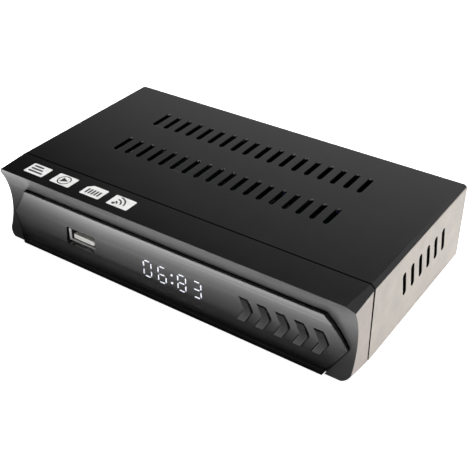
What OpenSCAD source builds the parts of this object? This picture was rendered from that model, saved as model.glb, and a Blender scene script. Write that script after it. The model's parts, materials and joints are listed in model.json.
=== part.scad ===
// Digital television receiver: sheet-metal case, moulded front panel, raised display window,
// arrow keys, front USB socket, and the boards and sockets inside.
// Millimetres. +Z is up, +X is to the right, the front faces -Y.

/* [Case] */
// Width of the case
body_width = 151; // [146:1:180]
// Depth of the case, from the front panel's top edge to the rear flange
body_depth = 87; // [85:1:110]
// Height of the case above its feet
body_height = 31; // [30.5:0.5:40]
// Thickness of the sheet metal
sheet = 0.8; // [0.6:0.1:1]
// Size of the chamfer along the two long top edges
edge_chamfer = 1.5; // [1.2:0.1:2.2]
// Rounding of the chamfer's two bends
edge_round = 0.7; // [0.4:0.1:1.2]
// Outer bend radius of the tray and of the cover's rear edge
bend_radius = 1.2; // [1.1:0.1:2]
// Gap between pieces that seat on each other
fit_gap = 0.1; // [0.05:0.05:0.2]
// Gap between the cover and the front panel
seam_gap = 0.6; // [0.2:0.1:0.8]
// Lowest edge of the cover's sides above the underside
cover_lift = 0.2; // [0.1:0.1:0.6]
// Height of the cover's rear flange
rear_flange = 8; // [7:0.5:9]
// Height of the tray's side upstands
tray_flange = 9; // [6:0.5:10]

/* [Feet and fasteners] */
// Height of the rubber feet
foot_height = 2; // [1:0.5:4]
// Diameter of the rubber feet
foot_diameter = 10; // [7:0.5:12]
// Distance of the feet from the sides
foot_side_inset = 14; // [9:0.5:20]
// Distance of the front feet from the front edge, and of the rear feet from the rear
foot_end_inset = 24; // [22:1:28]
// Diameter of the screw shanks
screw_diameter = 2.4; // [2:0.1:2.6]
// Diameter of the screw heads
screw_head = 5.4; // [4.6:0.1:6]
// Height of the screw heads
screw_head_height = 1.8; // [1.2:0.1:2.2]
// How much wider the holes are that screws pass through
screw_clearance = 0.6; // [0.4:0.1:0.8]
// How much wider the holes are that screws are driven into
thread_clearance = 0.2; // [0.1:0.05:0.3]
// Length of a screw past the piece it holds
screw_grip = 3.2; // [2.6:0.1:3.4]
// Distance of the cover screws from the middle
cover_screw_offset = 56; // [45:1:60]

/* [Front panel] */
// Depth of the front panel, from its top edge to the seam
panel_depth = 14; // [13.5:0.5:18]
// Wall of the front panel's top, ends and floor
panel_wall = 2; // [1.8:0.1:2.4]
// Wall behind the hollow face
front_wall = 3; // [2.6:0.1:3.4]
// Radius of the hollow face
face_radius = 28.5; // [26:0.5:36]
// Height of the hollow face's deepest line
face_middle = 14.6; // [13:0.2:15.4]
// Rounding of the bottom corners at the face
bottom_round = 4; // [2:0.5:5]
// Rounding of the bottom corners at the seam
bottom_round_seam = 0.8; // [0.5:0.1:2]
// Size of the long top edges' chamfer at the face; it narrows to the cover's at the seam
front_chamfer = 2.8; // [2.3:0.1:3.4]
// Length of the lip that goes under the cover
lip_length = 3.5; // [3:0.5:5]
// Thickness of that lip
lip_wall = 1.3; // [1:0.1:1.6]
// Width of the clips under the lip
clip_width = 8; // [5:0.5:12]
// Distance of the outer clips from the middle
clip_offset = 46; // [30:1:55]

/* [Display window] */
// Thickness of the window
window_thickness = 2; // [1.6:0.1:2.4]
// Radius of the window's hollow
window_radius = 28.5; // [27:0.5:34]
// Height of the window's deepest line
window_middle = 13.7; // [12:0.1:15]
// How far the window stands in front of the face at the deepest line
window_raise = 1.6; // [1.2:0.1:1.7]
// Height of the window's top edge
window_height = 22.6; // [21:0.2:24]
// Distance of the top corners from the sides of the case
window_top_inset = 10.6; // [8:0.2:14]
// Distance of the end points from the sides of the case
window_point_inset = 2.5; // [1.6:0.1:3]
// Height of the end points
window_point_height = 10.9; // [9:0.1:13]
// Distance of the bottom corners from the sides of the case
window_bottom_inset = 9.2; // [6:0.2:12]
// Height of the window's bottom edge
window_low = 0.1; // [0:0.1:1]
// Gap around the window
window_gap = 0.3; // [0.25:0.05:0.6]

/* [Keys] */
// Distance from key to key
key_pitch = 7.2; // [7:0.1:7.6]
// Height of an arrow key
key_height = 8.2; // [7:0.1:8.8]
// Width of the arrow's arms
key_arm = 3; // [2.6:0.1:3.2]
// How far the arrow's point stands out
key_point = 2.2; // [1.8:0.1:2.4]
// Height of the keys' middle
key_middle = 10.4; // [10:0.1:11.5]
// Distance of the last key's point from the side of the case
key_side_inset = 9.2; // [9:0.2:14]
// How far the keys' upper edge stands in front of the window
key_raise = 0.35; // [0.3:0.05:0.6]
// Lean of the keys' faces, lower edge forward
key_lean = 8; // [6:0.5:9]
// Gap around the keys
key_gap = 0.3; // [0.2:0.05:0.4]
// Travel of the keys
key_travel = 0.35; // [0.2:0.05:0.5]
// Gap between a key's flange and the window's back
key_seat_gap = 0.35; // [0.25:0.05:0.5]
// Thickness of the flange that keeps a key behind the window
key_flange = 0.9; // [0.7:0.1:1.2]
// How far that flange reaches past the arrow
key_flange_reach = 0.6; // [0.4:0.1:0.7]
// Length of the stem between a key and its plunger
key_stem = 0.7; // [0.7:0.1:1.5]
// Diameter of the plungers
plunger_diameter = 3.2; // [2.4:0.1:3.6]
// How far the plungers stand out of their switches
plunger_out = 0.9; // [0.8:0.1:1.5]
// Length of the plungers inside their switches
plunger_inside = 1; // [0.8:0.1:1.2]
// Gap around the plungers
plunger_gap = 0.2; // [0.15:0.05:0.3]
// Width and height of a switch body
switch_size = 6; // [5.5:0.1:6.2]
// Depth of a switch body
switch_depth = 3.5; // [3:0.1:4]

/* [Digit display] */
// The four digits that are lit
shown_digits = [0, 6, 8, 3];
// Distance of the display's middle from the case's middle, to the right
display_offset = 2.8; // [-4:0.1:4]
// Height of the display's middle
display_middle = 7.9; // [7.4:0.1:9]
// Width of the display body
display_width = 30; // [28:0.5:32]
// Height of the display body
display_height = 9.4; // [9:0.1:10]
// Height of a digit between the middles of its outer bars
digit_height = 6; // [5:0.1:6.4]
// Width of a digit between the middles of its side bars
digit_width = 3.4; // [3:0.1:3.8]
// Distance between the two digits of a pair
digit_pitch = 6.6; // [6:0.1:7]
// Distance between the inner digits of the two pairs
pair_gap = 8.7; // [8:0.1:9.5]
// Thickness of the segment bars
bar_width = 0.5; // [0.4:0.05:0.8]
// How far the segments stand out of the display
segment_depth = 0.15; // [0.1:0.01:0.18]
// Gap between the display body and the window's back
display_gap = 0.3; // [0.25:0.05:0.5]
// Width of the infrared receiver
receiver_width = 5.6; // [5:0.1:6]
// Height of the infrared receiver
receiver_height = 6.4; // [5.5:0.1:7]
// Depth of the infrared receiver
receiver_depth = 3; // [2.5:0.1:3.5]
// Diameter of the infrared receiver's lens
receiver_lens = 4.4; // [3.6:0.1:4.8]
// Diameter of the standby lamp
lamp_diameter = 3; // [2:0.1:3.4]
// Length of the standby lamp's straight part
lamp_length = 3; // [2:0.1:3.2]

/* [USB socket] */
// Distance of the socket's middle from the left side of the case
usb_side_inset = 37; // [30:0.5:44]
// Height of the socket's middle
usb_middle = 10.2; // [9.2:0.1:11]
// Inner width of the shell
usb_width = 12.5; // [12.3:0.1:12.7]
// Inner height of the shell
usb_height = 5.1; // [5:0.1:5.3]
// Wall of the shell
usb_wall = 0.3; // [0.25:0.05:0.4]
// Depth of the shell
usb_depth = 14; // [13:0.5:16]
// Gap around the shell in the window
usb_gap = 0.5; // [0.3:0.1:0.8]
// How far the shell's mouth lies behind the window's face
usb_set_back = 0.7; // [0.4:0.1:1.2]
// Thickness of the tongue
usb_tongue_thickness = 1.9; // [1.7:0.1:2.1]
// Gap between the tongue and the shell's floor
usb_tongue_lift = 0.7; // [0.6:0.05:0.8]
// How far the tongue lies behind the shell's mouth
usb_tongue_set_back = 0.8; // [0.5:0.1:1.5]
// Width of a contact
usb_contact_width = 1; // [0.8:0.1:1.2]
// Distance from contact to contact
usb_contact_pitch = 2.3; // [2:0.1:2.5]
// Width of the tongue
usb_tongue_width = 10.6; // [10:0.1:11.2]

/* [Boards] */
// Thickness of the main board
board_thickness = 1.6; // [1.2:0.1:2]
// Gap between the main board and the tray's upstands
board_side_gap = 9; // [8:0.5:12]
// Distance of the board's screws from its sides
board_screw_inset = 6; // [5:0.5:8]
// Outer diameter of the standoffs
standoff_diameter = 6; // [5:0.5:7]
// Thickness of the front board
front_board_thickness = 1.2; // [1:0.1:1.6]
// Left end of the front board, from the middle of the case
front_board_left = 20.5; // [20:0.5:24]
// Gap between the front board and the front panel's walls
front_board_gap = 1; // [0.6:0.1:1.4]

/* [Rear sockets] */
// Distance of the tuner can from the main board's left side
tuner_side_inset = 16.3; // [13:0.1:18]
// Width of the tuner can
tuner_width = 34; // [32:0.5:36]
// Depth of the tuner can
tuner_depth = 24; // [20:0.5:26]
// Height of the tuner can
tuner_height = 13; // [12.8:0.1:14]
// Height of the tuner can's lid
tuner_lid = 2.4; // [2:0.1:3]
// Distance between the two aerial sockets
aerial_pitch = 18; // [17:0.5:20]
// How far the aerial sockets reach past the rear flange
aerial_reach = 9; // [7:0.5:12]
// Inner diameter of the aerial input
aerial_in_diameter = 9.6; // [9.5:0.1:9.8]
// Outer diameter of the aerial output
aerial_out_diameter = 9.5; // [9.4:0.1:9.6]
// Wall of the aerial sockets
aerial_wall = 0.7; // [0.6:0.1:0.9]
// Diameter of the aerial sockets' feet in the rear wall
aerial_base = 12; // [11.6:0.1:12.4]
// Diameter of the aerial input's contact
aerial_contact = 3.6; // [3.4:0.1:4]
// Diameter of the aerial output's pin
aerial_pin = 2.4; // [2.2:0.1:2.5]
// Gap around the sockets in the rear wall
socket_gap = 0.3; // [0.2:0.05:0.4]
// Width of the video socket
video_width = 15; // [14.6:0.1:15.4]
// Height of the video socket
video_height = 5.6; // [5.4:0.1:6]
// Depth of the video socket
video_depth = 12; // [11:0.5:14]
// Wall of the video socket
video_wall = 0.5; // [0.4:0.05:0.6]
// Size of the slant at the video socket's lower corners
video_slant = 1.6; // [1.3:0.1:1.8]
// Width of the video socket's tongue
video_tongue_width = 10.4; // [10:0.1:10.6]
// Thickness of the video socket's tongue
video_tongue_thickness = 1.3; // [1:0.1:1.5]
// Distance of the video socket from the middle, to the right
video_offset = 4; // [3:0.5:6]
// Distance of the AV jack from the middle, to the right
jack_offset = 24; // [22:0.5:27]
// Bore of the AV jack
jack_bore = 3.6; // [3.55:0.01:3.7]
// Depth of the AV jack's bore
jack_bore_depth = 13; // [12:0.5:14]
// Width and height of the AV jack's body
jack_body = 7; // [6.6:0.1:7.6]
// Diameter of the AV jack's nose
jack_nose = 6; // [5.4:0.1:6.4]
// Distance of the DC inlet's middle from the main board's right side
inlet_side_inset = 21.3; // [18:0.1:23]
// Bore of the DC inlet
inlet_bore = 6; // [5.7:0.1:6.4]
// Diameter of the DC inlet's pin
inlet_pin_diameter = 2; // [1.7:0.1:2.5]
// Depth of the DC inlet's bore
inlet_bore_depth = 9.5; // [9:0.1:10]
// Width of the DC inlet
inlet_width = 9.4; // [9:0.1:9.8]
// Height of the DC inlet
inlet_height = 11; // [10.6:0.1:11.4]
// Depth of the DC inlet
inlet_depth = 14; // [13:0.5:15]

/* [Parts on the main board] */
// Width and depth of the processor
processor_size = 14; // [12:0.5:18]
// Height of the processor
processor_height = 1.4; // [1:0.1:2]
// Width and depth of the heat sink
sink_size = 22; // [18:0.5:24]
// Height of the heat sink
sink_height = 8; // [6:0.5:10]
// Thickness of the heat sink's base
sink_base = 2; // [1.5:0.1:2.5]
// Thickness of the heat sink's fins
sink_fin = 1; // [0.8:0.1:1.4]
// Fins on the heat sink
sink_fin_count = 7; // [5:1:8]
// Width of the memory chip
memory_width = 9; // [8:0.5:10]
// Depth of the memory chip
memory_depth = 13; // [11:0.5:14]
// Height of the memory chip
memory_height = 1.2; // [1:0.1:1.4]
// Width and depth of the flash chip
flash_size = 5.2; // [4:0.1:6]
// Height of the flash chip
flash_height = 1.8; // [1.4:0.1:2.2]
// Length of the crystal
crystal_length = 10.8; // [9:0.1:11.5]
// Width of the crystal
crystal_width = 4.6; // [4:0.1:5]
// Height of the crystal
crystal_height = 3.6; // [3:0.1:4]
// Diameter of the capacitors
capacitor_diameter = 6.3; // [5:0.1:8]
// Height of the capacitors
capacitor_height = 9; // [7:0.5:11]
// Width and depth of the inductors
inductor_size = 7; // [6:0.1:7.4]
// Height of the inductors
inductor_height = 4; // [3:0.1:5]
// Width of the regulators
regulator_width = 3.6; // [3:0.1:4]
// Depth of the regulators
regulator_depth = 6.5; // [6:0.1:7]
// Height of the regulators
regulator_height = 1.7; // [1.4:0.1:2]
// Width of the ribbon cable
ribbon_width = 10; // [8:0.5:12]
// Thickness of the ribbon cable
ribbon_thickness = 1; // [0.6:0.1:1.4]
// Radius of the ribbon cable's turn
ribbon_turn = 8; // [7.5:0.1:9]
// Size of the ribbon cable's sockets
ribbon_socket = 5; // [4.6:0.1:5.4]

/* [Vents] */
// Slots in each of the two top rows
vent_count = 18; // [10:1:19]
// Distance from slot to slot on the top
vent_pitch = 5.47; // [5:0.01:6]
// Width of the top slots
vent_width = 2.1; // [1.5:0.1:2.6]
// Length of the top slots
vent_length = 11; // [8:0.5:14]
// Distance of the near row's middle from the front edge
vent_near_row = 41; // [36:0.5:44]
// Distance between the rows' middles
vent_row_gap = 24.2; // [20:0.2:26]
// How far the rows are set to the left
vent_shift = 1.2; // [0:0.1:3]
// Slots in each side
side_vent_count = 6; // [3:1:6]
// Distance from slot to slot on the sides
side_vent_pitch = 6.3; // [5:0.1:6.5]
// Width of the side slots
side_vent_width = 2.4; // [1.8:0.1:2.8]
// Length of the side slots
side_vent_length = 10.2; // [8:0.1:11]
// Lean of the side slots
side_vent_lean = 12; // [0:1:15]
// Distance of the first side slot from the front edge
side_vent_start = 37.8; // [36:0.2:42]
// Height of the side slots' middle
side_vent_middle = 16.8; // [16:0.1:19]

/* [Hidden] */
$fn = 64;
key_count = 5;
// A hair of overlap for joining, and how far cuts run past what they cut
small = 0.01;
past = 5;

// The case
half_width = body_width / 2;
seat_inset = sheet + fit_gap;
cover_front = panel_depth + seam_gap;
tray_half = half_width - seat_inset;
rear_face = body_depth - seat_inset;
rear_inside = rear_face - sheet;
upstand_gap = 0.5;
upstand_front = panel_depth + lip_length + upstand_gap;
aerial_end = body_depth + aerial_reach;
overall_depth = aerial_end;
cover_screw_height = body_height - rear_flange / 2 - sheet / 2;
screw_hole = screw_diameter + screw_clearance;
thread_hole = screw_diameter + thread_clearance;

// The hollow face and the window's hollow, as circles seen from the side
face_axis = -sqrt(pow(face_radius, 2) - pow(body_height - face_middle, 2));
face_deepest = face_axis + face_radius;
window_deepest = face_deepest - window_raise;
window_axis = window_deepest - window_radius;
window_back = window_deepest + window_thickness;
function window_front_at(z) = window_axis + sqrt(pow(window_radius, 2) - pow(z - window_middle, 2));

// The stack from the keys to the front board
key_top = key_middle + key_height / 2;
key_face_top = window_front_at(key_top) - key_raise;
key_flange_front = window_back + key_seat_gap;
plunger_front = key_flange_front + key_flange + key_stem;
front_board_front = plunger_front + plunger_out + switch_depth;
front_board_back = front_board_front + front_board_thickness;
key_width = key_arm + key_point;
key_last = half_width - key_side_inset;
function key_x(i) = key_last - (key_count - i) * key_pitch - key_width / 2;

// The front board and the display
front_board_low = panel_wall + front_board_gap;
front_board_high = body_height - panel_wall - front_chamfer / 2 - front_board_gap;
front_board_right = half_width - panel_wall - front_chamfer / 2 - front_board_gap;
front_screw_inset = 3;
front_screw_high = front_board_high - front_screw_inset;
front_screws = [
    [-front_board_left + front_screw_inset, front_board_low + front_screw_inset],
    [-front_board_left + front_screw_inset, front_screw_high],
    [key_x(1) - key_width, front_screw_high],
    [front_board_right - front_screw_inset, front_screw_high]
];
boss_wall = 1.5;
boss_diameter = screw_diameter + 2 * boss_wall;
display_front = window_back + display_gap;
lamp_rim = 0.6;
receiver_x = display_offset + display_width / 2 - receiver_width / 2;
receiver_z = display_middle + display_height / 2 + lamp_rim + receiver_height / 2;
lamp_x = receiver_x - receiver_width / 2 - lamp_diameter;

// The main board
usb_x = -half_width + usb_side_inset;
usb_low = usb_middle - usb_height / 2;
board_top = usb_low - usb_wall;
board_low = board_top - board_thickness;
board_half = tray_half - sheet - board_side_gap;
board_end_gap = 0.9;
board_front = front_board_back + screw_head_height + board_end_gap;
board_back = rear_inside - board_end_gap;
board_mid = (board_front + board_back) / 2;
board_screw_x = board_half - board_screw_inset;
board_screw_front = board_front + board_screw_inset;
board_screw_back = board_back - board_screw_inset;
usb_front = window_front_at(usb_middle) + usb_set_back;
usb_back = usb_front + usb_depth;
usb_tab_reach = 4.5;
usb_tab_front = panel_depth - usb_tab_reach;
usb_tab_side = 2;
usb_back_wall = 3;

// The rear sockets
aerial_z = board_top + tuner_height / 2;
tuner_offset = board_half - tuner_side_inset - tuner_width / 2;
aerial_in_x = -tuner_offset - aerial_pitch / 2;
aerial_out_x = -tuner_offset + aerial_pitch / 2;
aerial_floor_out = 0.5;
aerial_disc = 1.2;
aerial_floor = body_depth + aerial_floor_out;
aerial_disc_end = aerial_floor + aerial_disc;
aerial_core_gap = 0.1;
video_z = board_top + video_height / 2;
video_out = 0.8;
video_back_wall = 1.5;
video_back = body_depth + video_out;
video_front = video_back - video_depth;
video_floor = video_front + video_back_wall;
jack_z = board_top + jack_body / 2;
jack_out = 1.2;
jack_back_wall = 3;
jack_end = body_depth + jack_out;
jack_front = jack_end - jack_bore_depth - jack_back_wall;
inlet_offset = board_half - inlet_side_inset;
inlet_lift = 0.5;
inlet_z = board_top + inlet_lift + inlet_height / 2;
inlet_out = 0.6;
inlet_end = body_depth + inlet_out;
inlet_floor = inlet_end - inlet_bore_depth;

// Drawing helpers: outlines are drawn as (x, z) or (y, z) and pulled along the third axis
module along_y(y0, y1)
    translate([0, y1, 0])
        rotate([90, 0, 0])
            linear_extrude(y1 - y0)
                children();

module along_x(x0, x1)
    translate([x0, 0, 0])
        rotate([90, 0, 90])
            linear_extrude(x1 - x0)
                children();

module block(x, y, z)
    translate([x[0], y[0], z[0]])
        cube([x[1] - x[0], y[1] - y[0], z[1] - z[0]]);

module rod_y(x, z, d, y0, y1)
    translate([x, y1, z])
        rotate([90, 0, 0])
            cylinder(d = d, h = y1 - y0);

module rod_z(x, y, d, z0, z1)
    translate([x, y, z0])
        cylinder(d = d, h = z1 - z0);

module rounded_plate(w, h, r) {
    square([w - 2 * r, h], center = true);
    square([w, h - 2 * r], center = true);
    for (sx = [-1, 1], sz = [-1, 1])
        translate([sx * (w / 2 - r), sz * (h / 2 - r)])
            circle(r);
}

module slot(length, width) {
    square([width, length - width], center = true);
    for (s = [-1, 1])
        translate([0, s * (length - width) / 2])
            circle(d = width);
}

// Moves every edge of a convex or concave outline outwards by d (points run anticlockwise)
function side_normal(a, b) = [b[1] - a[1], a[0] - b[0]] / norm(b - a);
function grown(points, d) = [
    for (i = [0 : len(points) - 1])
        let (
            before = points[(i + len(points) - 1) % len(points)],
            here = points[i],
            after = points[(i + 1) % len(points)],
            n1 = side_normal(before, here),
            n2 = side_normal(here, after)
        )
        here + d * (n1 + n2) / (1 + n1 * n2)
];

// Front view of the case: chamfered top corners with soft bends, rounded bottom corners
module case_outline(inset, low, low_round) {
    half = half_width - inset;
    top = body_height - inset;
    soft = max(edge_round - inset / 2, 0.2);
    cut = max(edge_chamfer - inset * (2 - sqrt(2)), soft);
    bend = soft * (sqrt(2) - 1);
    side_centre = [half - soft, top - cut - bend];
    top_centre = [half - cut - bend, top - soft];
    slant = soft * [cos(45), sin(45)];
    right = [
        [half - low_round, low],
        [half, low + low_round],
        [half, side_centre[1]],
        side_centre + slant,
        top_centre + slant,
        [top_centre[0], top]
    ];
    left = [for (i = [len(right) - 1 : -1 : 0]) [-right[i][0], right[i][1]]];
    polygon(concat(right, left));
    for (s = [-1, 1]) {
        translate([s * side_centre[0], side_centre[1]])
            circle(soft);
        translate([s * top_centre[0], top_centre[1]])
            circle(soft);
        if (low_round > 0)
            translate([s * (half - low_round), low + low_round])
                circle(low_round);
    }
}

// Side view of the cover: its rear top edge is bent down
module cover_side_outline(inset) {
    soft = bend_radius - inset;
    back = body_depth - inset;
    top = body_height - inset;
    polygon([
        [0, -past],
        [back, -past],
        [back, top - soft],
        [back - soft, top],
        [0, top]
    ]);
    translate([back - soft, top - soft])
        circle(soft);
}

module cover_shape(inset, front, low)
    intersection() {
        along_y(front, body_depth)
            case_outline(inset, low, 0);
        along_x(-half_width, half_width)
            cover_side_outline(inset);
    }

module vent_row(y)
    for (i = [0 : vent_count - 1])
        translate([(i - (vent_count - 1) / 2) * vent_pitch - vent_shift, y, body_height - sheet - past])
            linear_extrude(sheet + 2 * past)
                slot(vent_length, vent_width);

module side_vents()
    along_x(-half_width - past, half_width + past)
        for (i = [0 : side_vent_count - 1])
            translate([side_vent_start + i * side_vent_pitch, side_vent_middle])
                rotate(side_vent_lean)
                    slot(side_vent_length, side_vent_width);

module cover_screw_holes(d)
    for (s = [-1, 1])
        rod_y(s * cover_screw_offset, cover_screw_height, d, rear_inside - past, body_depth + past);

module top_cover()
    color("dimgray")
        difference() {
            cover_shape(0, cover_front, cover_lift);
            cover_shape(sheet, cover_front - past, -past);
            block([-half_width + sheet, half_width - sheet], [rear_face - past, body_depth + past],
                [-past, body_height - rear_flange]);
            vent_row(vent_near_row);
            vent_row(vent_near_row + vent_row_gap);
            side_vents();
            cover_screw_holes(screw_hole);
        }

// Tray
module tray_outline(inset) {
    half = tray_half - inset;
    soft = bend_radius - inset;
    polygon([
        [-half + soft, inset],
        [half - soft, inset],
        [half, inset + soft],
        [half, tray_flange + inset],
        [-half, tray_flange + inset],
        [-half, inset + soft]
    ]);
    for (s = [-1, 1])
        translate([s * (half - soft), inset + soft])
            circle(soft);
}

module clip_spots()
    for (i = [-1 : 1])
        translate([i * clip_offset, 0, 0])
            children();

module floor_vents()
    for (i = [-4 : 4])
        translate([i * vent_pitch * 1.5, board_mid, -past])
            linear_extrude(2 * past)
                slot(vent_length * 2, vent_width);

module rear_cutouts() {
    for (x = [aerial_in_x, aerial_out_x])
        rod_y(x, aerial_z, aerial_base + 2 * socket_gap, rear_inside - past, rear_face + past);
    along_y(rear_inside - past, rear_face + past)
        translate([video_offset, video_z])
            video_outline(-socket_gap);
    rod_y(jack_offset, jack_z, jack_nose + 2 * socket_gap, rear_inside - past, rear_face + past);
    block([inlet_offset - inlet_width / 2 - socket_gap, inlet_offset + inlet_width / 2 + socket_gap],
        [rear_inside - past, rear_face + past],
        [inlet_z - inlet_height / 2 - socket_gap, inlet_z + inlet_height / 2 + socket_gap]);
}

module chassis_tray()
    color("silver")
        difference() {
            union() {
                difference() {
                    along_y(upstand_front, rear_face)
                        tray_outline(0);
                    along_y(upstand_front - past, rear_inside)
                        tray_outline(sheet);
                }
                block([-tray_half + bend_radius, tray_half - bend_radius],
                    [cover_front, upstand_front + bend_radius], [0, sheet]);
                along_y(rear_inside, rear_face)
                    case_outline(seat_inset, tray_flange / 2, 0);
            }
            clip_spots()
                block([-clip_width / 2 - fit_gap, clip_width / 2 + fit_gap],
                    [clip_front - 2 * fit_gap, clip_back + 2 * fit_gap], [-past, sheet + small]);
            floor_vents();
            rear_cutouts();
            cover_screw_holes(thread_hole);
        }

// Front panel
module panel_blank()
    difference() {
        along_y(0, panel_depth)
            case_outline(0, 0, 0);
        for (s = [-1, 1])
            difference() {
                translate([s * (half_width - bottom_round), -past, bottom_round])
                    rotate([0, s > 0 ? 90 : 180, 0])
                        cube([bottom_round + past, panel_depth + 2 * past, bottom_round + past]);
                translate([s * (half_width - bottom_round), 0, bottom_round])
                    rotate([-corner_lean, 0, -s * corner_lean])
                        rotate([-90, 0, 0])
                            translate([0, 0, -2 * past])
                                cylinder(r = bottom_round, h = panel_depth + 4 * past);
            }
        for (s = [0, 1])
            mirror([s, 0, 0])
                translate([half_width, panel_depth, body_height - edge_chamfer])
                    rotate([0, -45, 0])
                        rotate([0, 0, -chamfer_lean])
                            translate([0, -panel_depth - 2 * past, -2 * past])
                                cube([2 * past, panel_depth + 4 * past, 4 * past]);
    }

module face_roll(extra)
    translate([0, face_axis, face_middle])
        rotate([0, 90, 0])
            cylinder(r = face_radius + extra, h = body_width + 2 * past, center = true, $fn = 128);

module window_roll(extra)
    translate([0, window_axis, window_middle])
        rotate([0, 90, 0])
            cylinder(r = window_radius + extra, h = body_width + 2 * past, center = true, $fn = 128);

// Lean of the bottom corners and of the top chamfer, which narrow from the face to the seam
corner_lean = atan((bottom_round - bottom_round_seam) * (sqrt(2) - 1) / sqrt(2) / panel_depth);
chamfer_lean = atan((front_chamfer - edge_chamfer) / sqrt(2) / panel_depth);

window_points = [
    [half_width - window_bottom_inset, window_low],
    [half_width - window_point_inset, window_point_height],
    [half_width - window_top_inset, window_height],
    [-half_width + window_top_inset, window_height],
    [-half_width + window_point_inset, window_point_height],
    [-half_width + window_bottom_inset, window_low]
];

// The arrow, seen from the front, about its own middle
arrow_points = [
    [-key_width / 2, -key_height / 2],
    [key_width / 2 - key_point, -key_height / 2],
    [key_width / 2, 0],
    [key_width / 2 - key_point, key_height / 2],
    [-key_width / 2, key_height / 2],
    [-key_width / 2 + key_point, 0]
];

usb_corner = 0.6;

module usb_cutout(gap, y0, y1)
    along_y(y0, y1)
        translate([usb_x, usb_middle])
            rounded_plate(usb_width + 2 * (usb_wall + gap), usb_height + 2 * (usb_wall + gap),
                usb_corner + gap);

opening_gap = 0.5;

module panel_windows() {
    half = display_width / 2 + opening_gap;
    low = display_middle - display_height / 2 - opening_gap;
    high = receiver_z + receiver_height / 2 + opening_gap;
    block([display_offset - half, display_offset + half], [-past, front_board_front], [low, high]);
    reach = key_flange_reach + opening_gap;
    block([key_x(1) - key_width / 2 - reach, key_last + reach], [-past, front_board_front],
        [key_middle - key_height / 2 - reach, key_top + reach]);
    usb_cutout(usb_gap, -past, front_board_front + past);
}

module lip()
    along_y(panel_depth - panel_wall, panel_depth + lip_length)
        difference() {
            case_outline(seat_inset, seat_inset, bottom_round_seam);
            case_outline(seat_inset + lip_wall, seat_inset + lip_wall, bottom_round_seam);
        }

clip_front_inset = 1.2;
clip_back_inset = 0.8;
clip_front = panel_depth + clip_front_inset;
clip_back = panel_depth + lip_length - clip_back_inset;

module clips()
    clip_spots()
        along_x(-clip_width / 2, clip_width / 2)
            polygon([
                [clip_front, seat_inset + small],
                [clip_front, sheet / 4],
                [clip_back, seat_inset + small]
            ]);

module front_bosses()
    for (p = front_screws)
        difference() {
            rod_y(p[0], p[1], boss_diameter, 0, front_board_front);
            rod_y(p[0], p[1], thread_hole, front_board_front - screw_grip - opening_gap,
                front_board_front + past);
        }

module front_panel()
    color("#2b2b2d")
        difference() {
            union() {
                difference() {
                    panel_blank();
                    difference() {
                        along_y(-past, panel_depth + past)
                            case_outline(panel_wall, panel_wall, bottom_round_seam);
                        face_roll(front_wall);
                    }
                }
                lip();
                clips();
                difference() {
                    front_bosses();
                    face_roll(front_wall / 2);
                }
            }
            face_roll(0);
            intersection() {
                along_y(-past, panel_depth)
                    polygon(grown(window_points, window_gap));
                window_roll(window_thickness + fit_gap);
            }
            panel_windows();
        }

module display_window()
    color("#1c1c1f")
        difference() {
            intersection() {
                along_y(-past, panel_depth)
                    polygon(window_points);
                window_roll(window_thickness);
            }
            window_roll(0);
            usb_cutout(usb_gap, -past, panel_depth);
            for (i = [1 : key_count])
                along_y(-past, panel_depth)
                    translate([key_x(i), key_middle])
                        polygon(grown(arrow_points, key_gap));
        }

// Keys and switches
module arrow_key(i)
    color("#26262a")
        translate([key_x(i), 0, key_middle]) {
            difference() {
                along_y(-past, key_flange_front + small)
                    polygon(arrow_points);
                translate([0, key_face_top, key_height / 2])
                    rotate([-key_lean, 0, 0])
                        translate([-past, -4 * past, -4 * past])
                            cube([2 * past, 4 * past, 8 * past]);
            }
            along_y(key_flange_front, key_flange_front + key_flange)
                rounded_plate(key_width + 2 * key_flange_reach, key_height + 2 * key_flange_reach,
                    key_flange_reach);
            rod_y(0, 0, plunger_diameter, key_flange_front + key_flange - small, plunger_front);
        }

module key_plunger(i)
    color("black")
        rod_y(key_x(i), key_middle, plunger_diameter, plunger_front,
            plunger_front + plunger_out + plunger_inside);

module key_switches()
    color("#3a3a3a")
        for (i = [1 : key_count])
            difference() {
                translate([key_x(i), front_board_front - switch_depth / 2, key_middle])
                    cube([switch_size, switch_depth, switch_size], center = true);
                rod_y(key_x(i), key_middle, plunger_diameter + 2 * plunger_gap, plunger_front,
                    plunger_front + plunger_out + plunger_inside + key_travel + plunger_gap);
            }

// Front board
module front_board()
    color("darkgreen")
        difference() {
            block([-front_board_left, front_board_right], [front_board_front, front_board_back],
                [front_board_low, front_board_high]);
            for (p = front_screws)
                rod_y(p[0], p[1], screw_hole, front_board_front - past, front_board_back + past);
        }

// A pan-head screw along +Z, its head's underside at the origin, with a cross recess
recess_length = screw_head * 0.6;
recess_width = screw_head * 0.13;
recess_depth = screw_head_height * 0.55;

module pan_screw(length)
    difference() {
        union() {
            cylinder(d = screw_head, h = screw_head_height);
            translate([0, 0, -length])
                cylinder(d = screw_diameter, h = length + small);
        }
        for (a = [0, 90])
            rotate(a)
                translate([-recess_length / 2, -recess_width / 2, screw_head_height - recess_depth])
                    cube([recess_length, recess_width, past]);
    }

module front_board_screws()
    color("gray")
        for (p = front_screws)
            translate([p[0], front_board_back, p[1]])
                rotate([-90, 0, 0])
                    pan_screw(front_board_thickness + screw_grip);

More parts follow.
